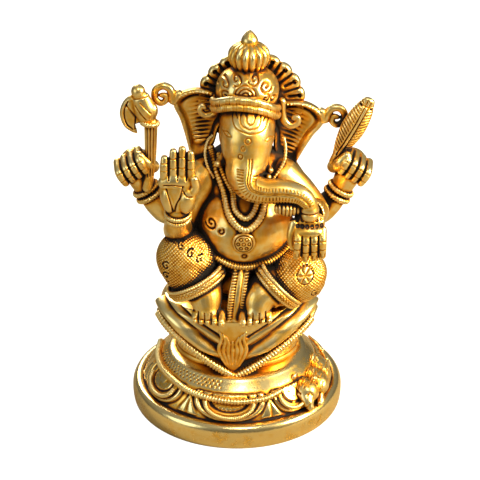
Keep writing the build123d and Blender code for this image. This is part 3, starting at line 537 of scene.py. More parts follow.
seat_ratio = 20.0 / 25.5
seat_profile = [(21.4, 18.6), (21.0, 20.5), (20.6, 23.0), (20.8, 26.0), (21.8, 29.5), (22.9, 32.3)]
seat_profile += [(23.7, 33.8), (25.0, 35.2), (25.5, 37.2), (25.2, 39.2), (24.0, 40.9), (22.0, 41.9)]
seat_profile += [(20.0, 42.2), (10.0, 42.3), (1.0, 42.3)]
profile = evenly(smooth_line(seat_profile, 14), 0.3)
turns = np.linspace(0, 2 * np.pi, 500, endpoint=False)
cloth_tip, cloth_corner, cloth_wide = 18.2, 34.6, 25.5


def cloth_half(height):
    """Half the width of the cloth's outer face, like the stool's own but straight down from the roll."""
    flare = np.clip((height - 17) / 20, 0, 1)
    return 27.2 * (0.9 + 0.1 * flare) - 1.9 * step(height, 41.2, 2.6)


def edge_depth(across, height):
    """How far inside the cloth's pointed edge a point is, square to the edge."""
    slope = (cloth_corner - cloth_tip) / cloth_wide
    return (height - cloth_tip - np.abs(across + 0.8) * slope) / math.hypot(1, slope)


across, deep, tall = turned_about(profile, turns)
deep = deep * seat_ratio
on_wall = step(profile[:, 0][:, None], 20.5, 2.0)
inset = edge_depth(across, tall)
front = step(-deep, 3.2, 1.0) * (tall < 42.1)
hung = step(inset, 0.2, 0.5) * front
outer = cloth_half(tall)
swell = 1 + (np.maximum(outer / np.maximum(profile[:, 0][:, None], 1), 1) - 1) * hung * on_wall
folds = -1.0 * ridge(inset, 11.4, 0.45) * (np.abs(across) > 3.0) - 0.8 * step(inset, 8.0, 0.8)
fold_sizes = ((0.35, 1.5, 0.6), (-1.2, 2.7, 0.5), (0.5, 4.4, 1.0), (-2.8, 7.2, 1.2), (0.5, 9.7, 0.8))
for rise, middle, width in fold_sizes:
    folds += rise * ridge(inset, middle, width)
swell = swell + folds * hung / 24.0 * on_wall
back_flutes = 0.012 * np.cos(turns * 34)[None, :] * (1 - front)
back_flutes = back_flutes * step(tall, 20, 2) * (1 - step(tall, 32.5, 2))
grooves = -0.02 * ridge(tall, 34.2, 0.35) * (1 - hung) - 0.016 * ridge(tall, 21.6, 0.35) * (1 - hung)
swell = swell + back_flutes + grooves
rings = np.stack([across * swell, deep * swell, tall], -1)
seat = Wax(*skin(rings, (0, 0, 18.6), (0, 0, 42.3))).rub(1)
pour("stool_form", seat, "seat", "seat_roll", "seat_drape")


def on_cloth(across, height, proud=0.0):
    half = cloth_half(height)
    bulge = math.sqrt(max(0.0, 1 - (across / half) ** 2))
    return np.array([across, -half * seat_ratio * bulge - proud, height])


hems, cloth_rise = [], cloth_corner - cloth_tip
for side in (-1, 1):
    shares = np.linspace(0, 0.985, 26)
    hems.append([on_cloth(side * cloth_wide * s - 0.8, cloth_tip + cloth_rise * s + 0.6) for s in shares])
ribbed("cloth_hem_cord", hems, 1.45, 1.05, "drape_hem", core=0.74, length=0.45)

petal_parts, petal_sizes = [], [(0, 0.0, 33.0)]
for width, high in ((1.5, 34.6), (2.9, 35.6), (4.4, 36.6)):
    petal_sizes += [(side, width, high) for side in (-1, 1)]
for side, width, high in petal_sizes:
    course = [(0, 20.8), (side * width * 0.55, 24.0), (side * width, 29.4), (side * width * 0.8, high - 2.4)]
    course.append((side * (width * 0.8 + 0.8), high))
    path = [on_cloth(x - 1.4, z, -0.5) for x, z in smooth_line(course, 5)]
    radii = np.interp(np.linspace(0, 1, len(path)), [0, 0.5, 1], [0.3, 0.72, 0.35])
    petal_parts.append(tube(path, radii, per=2, sides=12))
pour("cloth_lotus_petals", cast(petal_parts, 0.2, 2), "drape_lotus")

# ------------------------------------------------------------------ body
# One smooth casting: a round belly that swells over the belt, a broad chest, soft shoulders and
# the hips that sink into the stool. Two curls are chased on the right side of the belly.


def curl(centre, size, turns=1.4, start=0.0, spin=1):
    """A spiral line on a flat view, from its outer end to its eye."""
    share = np.linspace(0, 1, 30)
    angle = math.radians(start) + spin * share * turns * 2 * np.pi
    reach = size * (1 - 0.85 * share)
    return np.stack([centre[0] + reach * np.cos(angle), centre[1] + reach * np.sin(angle)], -1)


def circle(centre, radius, count=24):
    angle = np.linspace(0, 2 * np.pi, count)
    return np.stack([centre[0] + radius * np.cos(angle), centre[1] + radius * np.sin(angle)], -1)


def lay(wax, flat_line, proud=0.0):
    """Lays a line drawn on the front view against the front of a wax model."""
    front = wax.spots[wax.normals()[:, 1] < -0.1]
    placed = []
    for x, z in np.asarray(flat_line, float):
        off = np.hypot(front[:, 0] - x, front[:, 2] - z)
        close = front[off < max(0.7, off.min() + 0.25)]
        placed.append((x, close[:, 1].min() - proud, z))
    placed = np.array(placed)
    for _ in range(2):
        placed[1:-1, 1] = 0.5 * placed[1:-1, 1] + 0.25 * (placed[:-2, 1] + placed[2:, 1])
    return placed


torso = cast(
    [
        ball((2.0, -3.0, 66.4), (32.6, 30.6, 32.6)),
        ball((2.5, 0.4, 80.0), (29.0, 22.0, 29.0)),
        ball((2.0, 2.0, 49.5), (35.0, 27.0, 21.0)),
        tube([(-8.5, 1.0, 84.6), (2.5, 1.5, 88.6), (14.0, 1.0, 84.6)], [5.0, 6.5, 5.0]),
        ball((2.8, 0.5, 91.0), (14.0, 14.0, 14.0)),
    ],
    0.36, 5,
)
draw(torso, [curl((-8.2, 72.4), 1.9, 1.3, 200), curl((-5.2, 70.6), 1.1, 1.0, 40, -1)], 0.28, 0.45)
draw(torso, [circle((2.3, 62.6), 0.7)], 0.3, 0.4)
pour("body_casting", torso, "torso")

# ------------------------------------------------------------------ legs
# The legs are folded in a wrap whose weave is punched all over in small diamonds, with a
# flower on the left knee and rows of curls on the right; two rolled cords close it at each ankle.


def weave(wax, pitch, depth, where):
    """Punches a net of small diamonds over part of a wax model."""
    normals = wax.normals()
    spots, top = wax.spots, np.abs(normals[:, 2]) > 0.78
    side = np.abs(normals[:, 0]) > np.abs(normals[:, 1]) * 1.25
    u = np.where(side & ~top, spots[:, 1] * np.sign(normals[:, 0]), spots[:, 0])
    v = np.where(top, spots[:, 1], spots[:, 2])
    one, two = np.abs(((u + v) / pitch) % 1 - 0.5), np.abs(((u - v) / pitch) % 1 - 0.5)
    net = 1 - step(np.minimum(one, two), 0.17, 0.2)
    return wax.push(-depth * net * where)


def near(spots, centre, reach, blur=0.6):
    """1 close to a place, 0 away from it."""
    return 1 - step(np.linalg.norm(spots - np.asarray(centre, float), axis=1), reach, blur)


leg_forms = {
    "right": (
        [(-6.0, 2.0, 52.5), (-15.0, -12.6, 59.6)],
        [(-17.2, -13.8, 59.4), (-14.6, -15.2, 54.8), (-9.8, -16.6, 50.6)],
        (-16.4, -13.0, 59.8), (19.0, 18.0, 18.4), (-12.8, -15.8, 52.6), (0.48, -0.1, -0.87),
    ),
    "left": (
        [(9.0, 2.0, 51.0), (19.2, -12.8, 54.0)],
        [(20.2, -13.8, 53.4), (15.8, -15.4, 52.0), (9.6, -16.6, 49.4)],
        (20.2, -13.0, 53.8), (17.8, 18.0, 15.6), (13.0, -15.8, 51.4), (-0.72, -0.1, -0.68),
    ),
}
for side, (thigh, shin, knee, knee_size, hem, hem_way) in leg_forms.items():
    sign = -1 if side == "right" else 1
    forms = [tube(thigh, [9.0, 9.0]), tube(shin, [8.4, 7.6, 5.4]), ball(knee, knee_size, lean=-sign * 25)]
    leg = cast(forms, 0.22, 6)
    covered = step((np.asarray(hem) - leg.spots) @ np.asarray(hem_way), 0.4, 0.4)
    flower = (21.4, 57.4)
    bare = 1 - near(leg.spots[:, [0, 2]], flower, 2.7, 0.5) if side == "left" else 1.0
    weave(leg, 1.1, 0.2, covered * bare)
    if side == "left":
        draw(leg, [[flower, spot] for spot in circle(flower, 2.0, 7)[:-1]], 0.3, 0.3)
        draw(leg, [circle(flower, 2.6, 40)], 0.25, 0.3)
        strokes = [curl((24.6, 50.6), 1.3, 1.1, 90), curl((16.0, 50.0), 1.1, 1.1, 90, -1)]
    else:
        strokes = [curl((-17.4 + 2.9 * k, 66.8 - 2.0 * k), 1.35, 1.0, 60) for k in range(3)]
        strokes += [curl((-22.3, 60.5 - 3.6 * k), 1.4, 1.0, 60) for k in range(3)]
    draw(leg, strokes, 0.24, 0.3)
    pour(side + "_leg_wrap", leg, side + "_leg")

# ------------------------------------------------------------------ ankle cords, feet and toes
# Each wrap ends in a flat rolled band between two nicked cords. The bare feet turn forwards, side
# by side, and their toes with square nails rest on the edge of the stool.


def hoop(centre, axis, radius, squash=1.0, count=40):
    """A closed ring of places round an axis."""
    axis = unit(np.asarray(axis, float))
    across = unit(np.cross(axis, (0.1, 1.0, 0.2)))
    angle = np.linspace(0, 2 * np.pi, count, endpoint=False)
    flat = np.outer(np.cos(angle), across) + np.outer(np.sin(angle), np.cross(axis, across)) * squash
    return np.asarray(centre, float) + flat * radius


for side, x, sign in (("right", -9.2, -1), ("left", 6.0, 1)):
    hem, hem_way = (np.array(value) for value in leg_forms[side][4:])
    reach = 9.3 if side == "right" else 8.8
    rows = ((-1.6, 0.3), (1.1, 0.0))
    bands = [hoop(hem + hem_way * along, hem_way, reach + swell, 0.86, 60) for along, swell in rows]
    ribbed(side + "_ankle_cords", bands, 0.75, 0.8, side + "_cuff", closed=True)
    loop = hoop(hem - hem_way * 0.2, hem_way, reach - 0.1, 0.86)
    around = np.vstack([loop, loop[:2]])
    strap = cast([tube(around, [1.3] * 42, flat=0.8, thin=hem_way, sides=12, per=2)], 0.22, 1)
    line = loop[loop[:, 1] < hem[1]][:, [0, 2]]
    line = line[np.argsort(line[:, 0])]
    draw(strap, [circle(spot, 0.55, 10) for spot in line[1:]], 0.16, 0.3)
    pour(side + "_ankle_band", strap)
    heel, toe_x = hem + hem_way * 0.4, [x - sign * (4.1 - 2.05 * k) for k in range(5)]
    instep = (x * 0.8 + heel[0] * 0.2, -19.2, 48.6)
    forms = [tube([heel + [-sign * 1.2, 0.4, 0], instep, (x, -22.2, 45.0)], [7.0, 5.6, 3.8])]
    forms.append(ball((x, -21.6, 44.4), (10.4, 7.4, 5.4)))
    for k, tx in enumerate(toe_x):
        forms.append(tube([(tx, -22.4, 44.8), (tx, -26.2 + 0.4 * k, 43.3)], [1.5 - 0.1 * k, 1.4 - 0.1 * k]))
    foot = cast(forms, 0.22, 2)
    nails = []
    for tx, half in zip(toe_x, (0.62, 0.56, 0.5, 0.45, 0.4)):
        nails.append([(tx - half, 43.3), (tx - half, 44.3), (tx + half, 44.3), (tx + half, 43.3)])
    draw(foot, nails, 0.16, 0.22)
    draw(foot, [[(tx + sign * 1.02, 42.4), (tx + sign * 1.02, 46.4)] for tx in toe_x[:4]], 0.2, 0.5)
    pour(side + "_foot_casting", foot, side + "_foot")

# ------------------------------------------------------------------ pleats, belt, necklaces and pendant
# Wax thread pressed on the body: three hanging pleats nicked like ladders between the legs, one
# thick belt under the belly, two strings of beads and a round locket punched with rings.

strips, rungs = [], []
for lean in (-1, 0, 1):
    course = [(1.6 + lean * 1.8, -16.6, 58.6), (0.4 + lean * 1.9, -20.6, 52.0)]
    course.append((-0.6 + lean * 2.1, -22.8, 42.7))
    strips.append(tube(course, [0.95, 1.05, 1.15], flat=0.8))
for lean in (-1, 1):
    for z in np.arange(43.0, 58.0, 0.85):
        middle = 0.14 * (z - 43) - 0.6 + lean * 2.0
        rungs.append([(middle - 0.7, z), (middle + 0.7, z)])
pleats = cast(strips, 0.22, 1)
draw(pleats, rungs, 0.15, 0.26)
pour("waist_pleat_strips", pleats, "waist_pleats")
strings = {
    "belt_cord": (
        [
            (-14.2, 68.6), (-12.0, 65.0), (-8.5, 61.9), (-2.3, 59.1),
            (3.0, 58.2), (9.2, 59.2), (14.0, 61.0), (17.4, 63.4),
        ],
        1.35, 0.9, 0.5, "waist_belt",
    ),
    "outer_beads": (
        [
            (-8.2, 92.6), (-6.4, 87.8), (-4.2, 82.0), (-2.2, 75.6),
            (2.5, 71.9), (7.0, 75.0), (8.6, 80.0), (9.6, 86.0),
        ],
        1.2, 1.0, 0.8, "outer_necklace",
    ),
    "inner_beads": (
        [
            (-5.6, 91.5), (-4.5, 87.6), (-1.6, 81.9), (-0.6, 77.4),
            (2.5, 75.2), (5.3, 76.9), (6.8, 81.0), (7.4, 86.0),
        ],
        1.0, 0.85, 0.8, "inner_necklace",
    ),
}
for name, (course, rib, spacing, length, node) in strings.items():
    ribbed(name, [lay(torso, smooth_line(course, 9), 0.35)], rib, spacing, node, length=length)
locket_spot = (2.1, 67.6)
locket = cast([ball(lay(torso, [locket_spot])[0] + [0, 0.3, 0], (7.4, 3.0, 7.4))], 0.2, 1)
draw(locket, [circle(locket_spot, 2.9, 40)], 0.2, 0.35)
dots = [circle(spot, 0.5, 12) for spot in circle(locket_spot, 1.75, 7)[:-1]]
draw(locket, dots + [circle(locket_spot, 0.55, 12)], 0.17, 0.3)
pour("locket", locket, "pendant")

# ------------------------------------------------------------------ head
# Head and trunk are one casting that leans to its left: a high brow, two domed temples, full cheeks
# and a trunk that turns to the figure's left and curls down over the sweet. A lotus is chased on the
# forehead, and ticked lines run down the trunk. The tusks are small stubs.

head_centre, tilt = np.array([3.2, -2.0, 100.1]), math.radians(7.5)
lean_across, lean_up = math.cos(tilt), math.sin(tilt)
head_frame = np.array([[lean_across, 0, -lean_up], [lean_up, 0, lean_across], [0, -1.0, 0]])
FACE = head_frame[:2]


def on_head(across, up, forward=0.0):
    """A place in the leaning head's own frame."""
    return head_centre + np.array([across, up, forward], float) @ head_frame


def face_lines(*lines):
    """Lines drawn on the face, moved to the view that draw uses for it."""
    return [np.asarray(line, float) + FACE @ head_centre for line in lines]


def head_ball(across, up, forward, width, tall, deep):
    return ball(on_head(across, up, forward), (width, deep, tall), lean=math.degrees(tilt))


trunk_course = [
    (3.3, -5.0, 104.0), (3.2, -8.0, 100.4), (2.9, -9.6, 96.4), (2.8, -11.6, 92.6), (2.6, -14.6, 89.0),
    (4.4, -17.0, 86.4), (8.8, -18.6, 85.6), (13.8, -19.3, 85.9), (18.6, -20.1, 85.2), (21.4, -20.5, 82.8),
    (22.0, -20.5, 80.0),
]
trunk_radii = [8.2, 8.2, 7.8, 6.9, 5.7, 4.6, 3.9, 3.8, 3.4, 3.0, 2.7]
head = cast(
    [
        head_ball(0, 1.5, -1.0, 17.6, 21.5, 19.5),
        head_ball(-3.6, 7.0, 2.4, 9.4, 8.0, 12.0), head_ball(3.6, 7.0, 2.4, 9.4, 8.0, 12.0),
        head_ball(-5.0, -1.6, 2.0, 7.4, 12.0, 12.4), head_ball(5.0, -1.6, 2.0, 7.4, 12.0, 12.4),
        head_ball(0, 4.0, 3.0, 14.0, 12.0, 14.0),
        tube([on_head(0, -2, -5), on_head(-0.6, -9.5, -4)], [7.6, 7.0]),
        tube(trunk_course, trunk_radii, sides=44),
        tube([(22.0, -20.5, 80.4), (22.2, -20.8, 78.8)], [3.1, 3.0]),
    ],
    0.25, 5,
)
eye_lines = []
for side in (-1, 1):
    for lid in (1.9, 0.6):
        eye_lines.append(smooth_line([(side * 5.2, 1.0), (side * 6.4, lid), (side * 7.8, 1.2)], 6))
petal_courses = (
    (1.1, [(0, 5.4), (1, 6.4), (1.1, 9.4)]),
    (2.6, [(0, 4.2), (1, 5.2), (1.2, 7.2), (0.8, 9.0), (0.55, 7.4)]),
    (4.2, [(0, 3.0), (1, 4.0), (1.3, 6.2), (1.2, 8.4), (0.95, 6.6)]),
)
loops = []
for width, course in petal_courses:
    loops += [smooth_line([(side * width * share, z) for share, z in course], 6) for side in (-1, 1)]
loops += [circle((0, 1.0), 0.9, 16), curl((-1.0, -1.6), 0.9, 1.0, 90), circle((-1.7, -4.0), 0.7, 14)]
draw(head, face_lines(*eye_lines), 0.16, 0.22, view=FACE)
draw(head, face_lines(*loops), 0.16, 0.26, view=FACE)
trunk_mid = smooth_line([(x, z) for x, _, z in trunk_course], 10)
trunk_way = unit(np.gradient(trunk_mid, axis=0))
trunk_side = np.stack([-trunk_way[:, 1], trunk_way[:, 0]], -1)
wide = np.interp(np.linspace(0, 1, len(trunk_mid)), np.linspace(0, 1, 11), trunk_radii)[:, None]
double = [(trunk_mid + trunk_side * wide * share)[22:-8] for share in (0.10, 0.22)]
strokes = []
for first, start, end in ((30, -0.12, -0.4), (44, -0.6, -0.85), (34, 0.36, 0.56)):
    for i in range(first, 94, 2):
        strokes.append(np.array([trunk_mid[i] + trunk_side[i] * wide[i] * share for share in (start, end)]))
draw(head, double, 0.16, 0.32)
draw(head, strokes, 0.14, 0.25)
draw(head, [[(18.6, 79.9), (25.4, 79.9)]], 0.25, 0.4)
pour("head_and_trunk_casting", head, "head", "trunk")
for side, name in ((-1, "right"), (1, "left")):
    stub = [on_head(side * 5.4, -7.0, 7.0), on_head(side * 7.2, -8.8, 9.6), on_head(side * 8.2, -8.8, 11.4)]
    tusk = cast([tube(stub, [1.7, 1.5, 1.0])], 0.24, 1)
    pour(name + "_tusk_stub", tusk, name + "_tusk")

# ------------------------------------------------------------------ ears with rolled scrolls
# Each ear is a thin wing that spreads from the temple. Its upper rim and inner edge are rolled
# and nicked, its hollow carries short ribs, and the rim ends in a curl; a hook lies on the temple.

ear_outline = [(6.0, 7.4), (9.5, 8.6), (14.0, 9.6), (18.0, 9.4), (21.6, 7.8), (23.9, 5.2), (23.2, 2.4)]
ear_outline += [(21.2, -0.8), (19.2, -5.4), (17.6, -9.6), (16.4, -12.6), (13.8, -13.6), (11.4, -11.6)]
ear_outline += [(9.6, -8.0), (8.6, -2.4), (6.4, 2.0)]
curl_course = [(22.4, 7.0), (23.8, 4.6), (24.4, 6.8), (25.6, 8.6), (27.8, 9.0), (29.6, 7.4), (29.6, 4.8)]
curl_course += [(27.8, 3.4), (26.2, 4.4), (26.4, 6.0), (27.6, 6.0)]
hook_course = [(9.4, 10.0), (9.9, 6.6), (11.2, 3.8), (13.4, 2.6), (15.2, 3.8), (15.0, 5.4), (13.9, 5.2)]
for side, name in ((-1, "right"), (1, "left")):
    closed = smooth_line([(side * x, y) for x, y in ear_outline + ear_outline[:1]], 8)[:-1]
    hub, shares = np.array([side * 14.0, 2.0]), np.linspace(0.05, 1, 54)
    flat = hub + (closed - hub)[None] * shares[:, None, None]
    out, up = flat[..., 0] * side, flat[..., 1]
    rim = shares[:, None] + 0 * out
    roll = np.clip(0.55 + 0.75 * step(up, 5.0, 4.0) + 0.35 * (out < 11), 0, 1.3)
    bowl = 1.3 * rim**2 + 1.1 * roll * ridge(rim, 0.9, 0.1) - 0.6 * roll * ridge(rim, 0.73, 0.05)
    slant = up + 0.25 * (out - 14)
    ribbed_part = ridge(out, 14.2, 2.6) * (slant > -8) * (slant < 6) * (rim < 0.7)
    ribs = 0.6 * (0.5 + 0.5 * np.cos(slant * 4.4)) ** 2 * ribbed_part
    teeth = 0.3 * np.cos(np.cumsum(np.linalg.norm(np.diff(closed, axis=0, append=closed[:1]), axis=1)) * 5.2)
    relief = bowl - ribs + teeth[None] * ridge(rim, 0.9, 0.1) * np.clip(roll - 0.5, 0, 1)
    hollow = -4.3 - 0.4 * rim**2 + 0.9 * ridge(rim, 1.0, 0.1)
    rings = np.concatenate([np.dstack([flat, relief - 3.4]), np.dstack([flat, hollow])[::-1]])
    rings = rings @ head_frame + head_centre
    if side > 0:
        rings = rings[:, ::-1]
    ear = cast([skin(rings, on_head(*hub, -3.4), on_head(*hub, -4.3))], 0.24, 1)
    pour(name + "_ear_wing", ear, name + "_ear")
    line = [on_head(side * x, y, -2.4) for x, y in smooth_line(curl_course, 5)]
    scroll = cast([tube(line, np.linspace(1.45, 0.85, len(line)), per=2, sides=14)], 0.22, 1)
    pour(name + "_ear_curl", scroll, name + "_ear_scroll")

hook_parts = []
for side in (-1, 1):
    course = [on_head(side * x, y, 1.0) for x, y in smooth_line(hook_course, 6)]
    hook_parts.append(tube(course, np.linspace(1.35, 0.9, len(course)), per=2, sides=12))
pour("temple_hooks", cast(hook_parts, 0.22, 1), "ear_hooks")
loop_lines = []
for flat_line in (
    [(-7.6, 97.6), (-9.1, 96.0), (-9.9, 92.6), (-9.1, 88.7), (-7.1, 85.5)],
    [(14.6, 97.0), (15.2, 93.6), (14.5, 89.7), (11.7, 85.7), (9.6, 83.8)],
):
    loop_lines.append(smooth_line([(x, -3.4 - 0.40 * (97 - z), z) for x, z in flat_line], 8))
ribbed("ear_bead_loops", loop_lines, 0.62, 0.9, length=0.6)

# ------------------------------------------------------------------ crown
# A low dome chased with curls over two brow cords, a ribbed bud with a point, and behind it a
# fan of eleven round lobes, each with a deep keyhole.

cap_centre = np.array([3.2, -2.0, 111.0])


def dome(profile, middle, sides=120, flutes=0, depth=0.0, ratio=1.0):
    """A turned shape on the head's axis, with flutes if wanted."""
    line = smooth_line(profile, 10)
    angle = np.linspace(0, 2 * np.pi, sides, endpoint=False)
    body = np.outer(line[:, 0], 1 + 0 * angle)
    if flutes:
        body = body * (1 + depth * np.abs(np.sin(angle * flutes / 2))[None] ** 0.6 - depth)
    tall = np.outer(line[:, 1], 1 + 0 * angle)
    rings = np.stack([body * np.sin(angle), body * np.cos(angle) * ratio, tall], -1)
    return skin(rings[::-1] + middle, middle + [0, 0, line[-1, 1]], middle + [0, 0, line[0, 1]])


cap_profile = [(8.6, -4.0), (9.6, 0.0), (9.6, 3.0), (8.2, 6.0), (5.6, 8.0), (2.5, 8.9), (0.4, 9.0)]
cap = cast([dome(cap_profile, cap_centre)], 0.24, 1)
marks = [circle((2.5, 113.6), radius, 30) for radius in (1.0, 2.1, 3.2)]
marks = [line[line[:, 1] > 113.3] for line in marks]
marks += [circle((11.2, 111.6), 0.8, 12)]
for x, z, size, turns, start, spin in (
    (-4.0, 116.2, 2.1, 1.15, 200, -1), (-0.2, 118.0, 1.8, 1.1, 250, 1), (5.2, 118.2, 1.9, 1.15, 200, 1),
    (8.8, 116.0, 2.1, 1.15, 330, -1), (-3.8, 112.9, 1.5, 1.0, 60, 1), (8.8, 112.4, 1.5, 1.0, 100, -1),
    (2.4, 119.9, 0.9, 1.0, 0, 1),
):
    marks.append(curl((x, z), size, turns, start, spin))
draw(cap, marks, 0.34, 0.5)
pour("crown_dome", cap, "crown_cap")


brow_middle, brow_half = 2.6, 9.9
brow_levels = (110.3, 112.5)


def brow_height(x, z):
    """The height of a brow cord: highest in the middle, leaning with the head."""
    off = x - brow_middle
    return z - 0.116 * off - 4.0 * np.clip(np.abs(off) / brow_half, 0, 1) ** 2.4


cords = []
for z in brow_levels:
    angle = np.radians(np.linspace(-86, 86, 60))
    across = brow_middle + brow_half * np.sin(angle)
    course = np.stack([across, -3.0 - 9.4 * np.cos(angle) ** 0.8, brow_height(across, z)], -1)
    cords.append(tube(course, [1.25] * 60, per=1, sides=16))
band = cast(cords, 0.22, 1)
nicks = []
for middle in np.arange(-7.4, 12.5, 3.1):
    for x in middle + np.array([0, 0.5, 1.0]):
        for spot, level in zip((x, x + 1.0), brow_levels):
            nicks.append([(spot, brow_height(spot, level) + reach) for reach in (-0.9, 0.9)])
draw(band, nicks, 0.13, 0.2)
pour("crown_brow_cords", band, "brow_cords")

fan_centre, lobe_step = np.array([0.3, 6.0]), 17.6
lobes = [ball(on_head(*fan_centre, -5.0), (29.0, 3.2, 29.0))]
fan_lines, keyholes = [], []


def fan_spot(k, reach):
    """A place on the fan's face, k lobes round from its right end."""
    angle = math.radians(-88 + lobe_step * k)
    return np.array([math.sin(angle), math.cos(angle)]) * reach + fan_centre


for k in range(11):
    course = [on_head(*fan_spot(k, 9.0), -5.5), on_head(*fan_spot(k, 15.6), -4.6)]
    lobes.append(tube(course, [2.3, 2.7], flat=0.66))
    keyholes.append(np.array([fan_spot(k, 12.2), fan_spot(k, 15.2)]))
    fan_lines += [circle(fan_spot(k, 15.6), 0.45, 10)]
    fan_lines.append(np.array([fan_spot(k + 0.5, 11.0), fan_spot(k + 0.5, 18.0)]))
fan = cast(lobes, 0.24, 2)
draw(fan, face_lines(*keyholes), 0.5, 1.4, view=FACE)
draw(fan, face_lines(*fan_lines), 0.22, 0.5, view=FACE)
pour("crown_fan_plate", fan, "crown_fan")

bud_profile = [(3.6, 6.6), (4.6, 8.2), (5.9, 10.2), (6.5, 12.2), (6.1, 14.0), (4.8, 15.5), (3.2, 16.3)]
bud_profile += [(1.9, 16.9)]
point_profile = [(2.2, 15.8), (2.6, 16.9), (2.3, 18.0), (1.5, 19.1), (0.7, 20.0), (0.12, 20.4)]
ribbed_bud = dome(bud_profile, cap_centre + [0.4, 0, 0], 180, flutes=16, depth=0.2, ratio=0.96)
bud = cast([ribbed_bud, dome(point_profile, cap_centre + [0.6, 0, 0], 60)], 0.22, 1)
pour("crown_ribbed_bud", bud, "crown_bud")

# ------------------------------------------------------------------ front arms
# Smooth, full arms come forward from under the rear ones. The right forearm is raised beside
# the chest; the left rests on the knee side. Each wrist has two ribbed bangles.

arm_spots = {
    "right": [
        (-9.6, -2.6, 84.0), (-14.6, -4.8, 76.5), (-18.2, -8.6, 68.6), (-18.6, -13.4, 71.0),
        (-18.2, -18.0, 78.5),
    ],
    "left": [
        (14.0, -2.6, 84.0), (19.6, -3.6, 79.0), (24.4, -6.4, 73.6), (24.2, -11.0, 74.6), (22.4, -17.6, 77.0),
    ],
}
arm_radii = {"right": [5.8, 5.4, 4.9, 4.4, 3.3], "left": [5.8, 5.2, 4.7, 4.2, 3.5]}
for side, course in arm_spots.items():
    arm = cast([tube(course, arm_radii[side], sides=36)], 0.28, 2)
    pour(side + "_front_arm_casting", arm, side + "_front_arm")
rings = [hoop((-18.2, -18.0, 76.6 + 1.5 * k), (0, -0.35, 1), 3.6) for k in (0, 1)]
ribbed("right_front_bangles", rings, 0.85, 0.72, "right_front_bangle", closed=True)
cuff_spot, cuff_way = np.array([22.6, -16.8, 77.0]), np.array([-0.1, -0.85, 0.35])
rings = [hoop(cuff_spot + cuff_way * reach, cuff_way, 4.0) for reach in (-1.6, 1.6)]
ribbed("left_front_bangles", rings, 0.8, 0.72, "left_front_bangle", closed=True)

# ------------------------------------------------------------------ blessing hand
# The right hand is raised with its palm forwards: four long fingers close together, a thumb
# beside them, chased palm lines and two joint lines on every finger.

palm_y = -19.4
fingers = [(-21.8, 98.0), (-19.1, 100.2), (-16.4, 101.0), (-13.9, 99.6)]
finger_feet = [-22.0 + 2.7 * k for k in range(4)]
hand_parts = [
    ball((-18.0, palm_y, 85.2), (11.2, 5.2, 15.0)),
    ball((-18.4, palm_y - 0.2, 89.0), (11.2, 4.6, 7.0)),
    ball((-15.2, palm_y - 1.0, 83.4), (5.4, 4.6, 9.0), lean=12),
    ball((-20.8, palm_y - 0.8, 83.6), (4.6, 4.0, 9.0), lean=-6),
]
thumb = [(-14.6, palm_y - 0.6, 84.6), (-12.6, palm_y - 1.0, 87.8), (-12.9, palm_y - 1.4, 90.6)]
hand_parts.append(tube(thumb, [2.0, 1.55, 1.25]))
for foot_x, (x, z) in zip(finger_feet, fingers):
    course = [(foot_x, palm_y, 88.6), ((foot_x + x) / 2, palm_y - 0.5, 94.0), (x, palm_y - 0.2, z - 1.1)]
    hand_parts.append(tube(course, [1.42, 1.38, 1.12]))
palm = cast(hand_parts, 0.22, 1)
palm_lines = [
    smooth_line([(-22.2, 88.6), (-19.4, 88.9), (-16.2, 88.4)], 8),
    smooth_line([(-21.4, 87.4), (-20.0, 82.6), (-19.2, 78.6)], 8),
    smooth_line([(-16.4, 88.2), (-17.2, 85.0), (-18.4, 82.6), (-19.2, 79.4)], 8),
    smooth_line([(-16.4, 87.2), (-15.4, 85.6), (-13.6, 85.2)], 6),
]
joints = []
for foot_x, (x, z) in zip(finger_feet, fingers):
    for share in (0.36, 0.68):
        mx, mz = foot_x + (x - foot_x) * share, 90.6 + (z - 90.6) * share
        joints.append([(mx - 0.9, mz), (mx + 0.9, mz)])
clefts = []
for foot_x, (x, z), (next_x, next_z) in zip(finger_feet, fingers, fingers[1:]):
    clefts.append([(foot_x + 1.35, 90.4), ((x + next_x) / 2, min(z, next_z) - 0.6)])
draw(palm, palm_lines, 0.24, 0.42)
draw(palm, joints, 0.16, 0.2)
draw(palm, clefts, 0.2, 0.5)
pour("blessing_hand_casting", palm, "blessing_hand")

# ------------------------------------------------------------------ resting hand and sweet
# The left hand hangs over the sweet: its back faces forwards with four straight fingers side by
# side below the knuckles. The trunk's tip and the hand share one round sweet.

hand_parts = [
    ball((22.2, -20.2, 76.0), (10.0, 6.2, 7.2)), ball((22.2, -22.6, 73.6), (10.4, 5.4, 5.2)),
    tube([(17.6, -21.4, 76.2), (16.6, -22.8, 72.4), (17.2, -23.4, 69.0)], [1.7, 1.45, 1.2]),
]
tips = [(18.4, 65.8), (21.1, 64.7), (23.8, 65.0), (26.3, 65.8)]
knuckles = [18.6 + 2.5 * k for k in range(4)]
for knuckle, (x, z) in zip(knuckles, tips):
    course = [(knuckle, -22.4, 74.4), (knuckle, -24.6, 71.4), (x, -24.2, z + 0.6)]
    hand_parts.append(tube(course, [1.42, 1.36, 1.16]))
rest = cast(hand_parts, 0.22, 1)
rest_lines = [[(x - 0.9, z), (x + 0.9, z)] for x, tip in tips for z in (tip + 3.2, tip + 6.0)]
for x, z in tips:
    rest_lines.append([(x + out, z + up) for out, up in ((-0.7, 1.7), (-0.6, 0.5), (0.6, 0.5), (0.7, 1.7))])
for knuckle, (x, _), (next_x, _) in zip(knuckles, tips, tips[1:]):
    rest_lines.append([(knuckle + 1.25, 73.4), ((x + next_x) / 2, 66.2)])
draw(rest, rest_lines, 0.17, 0.26)
studs = [circle((x, z), 0.35, 8) for x in np.arange(18.4, 27.0, 1.5) for z in (76.0, 77.6)]
draw(rest, studs, 0.2, 0.3)
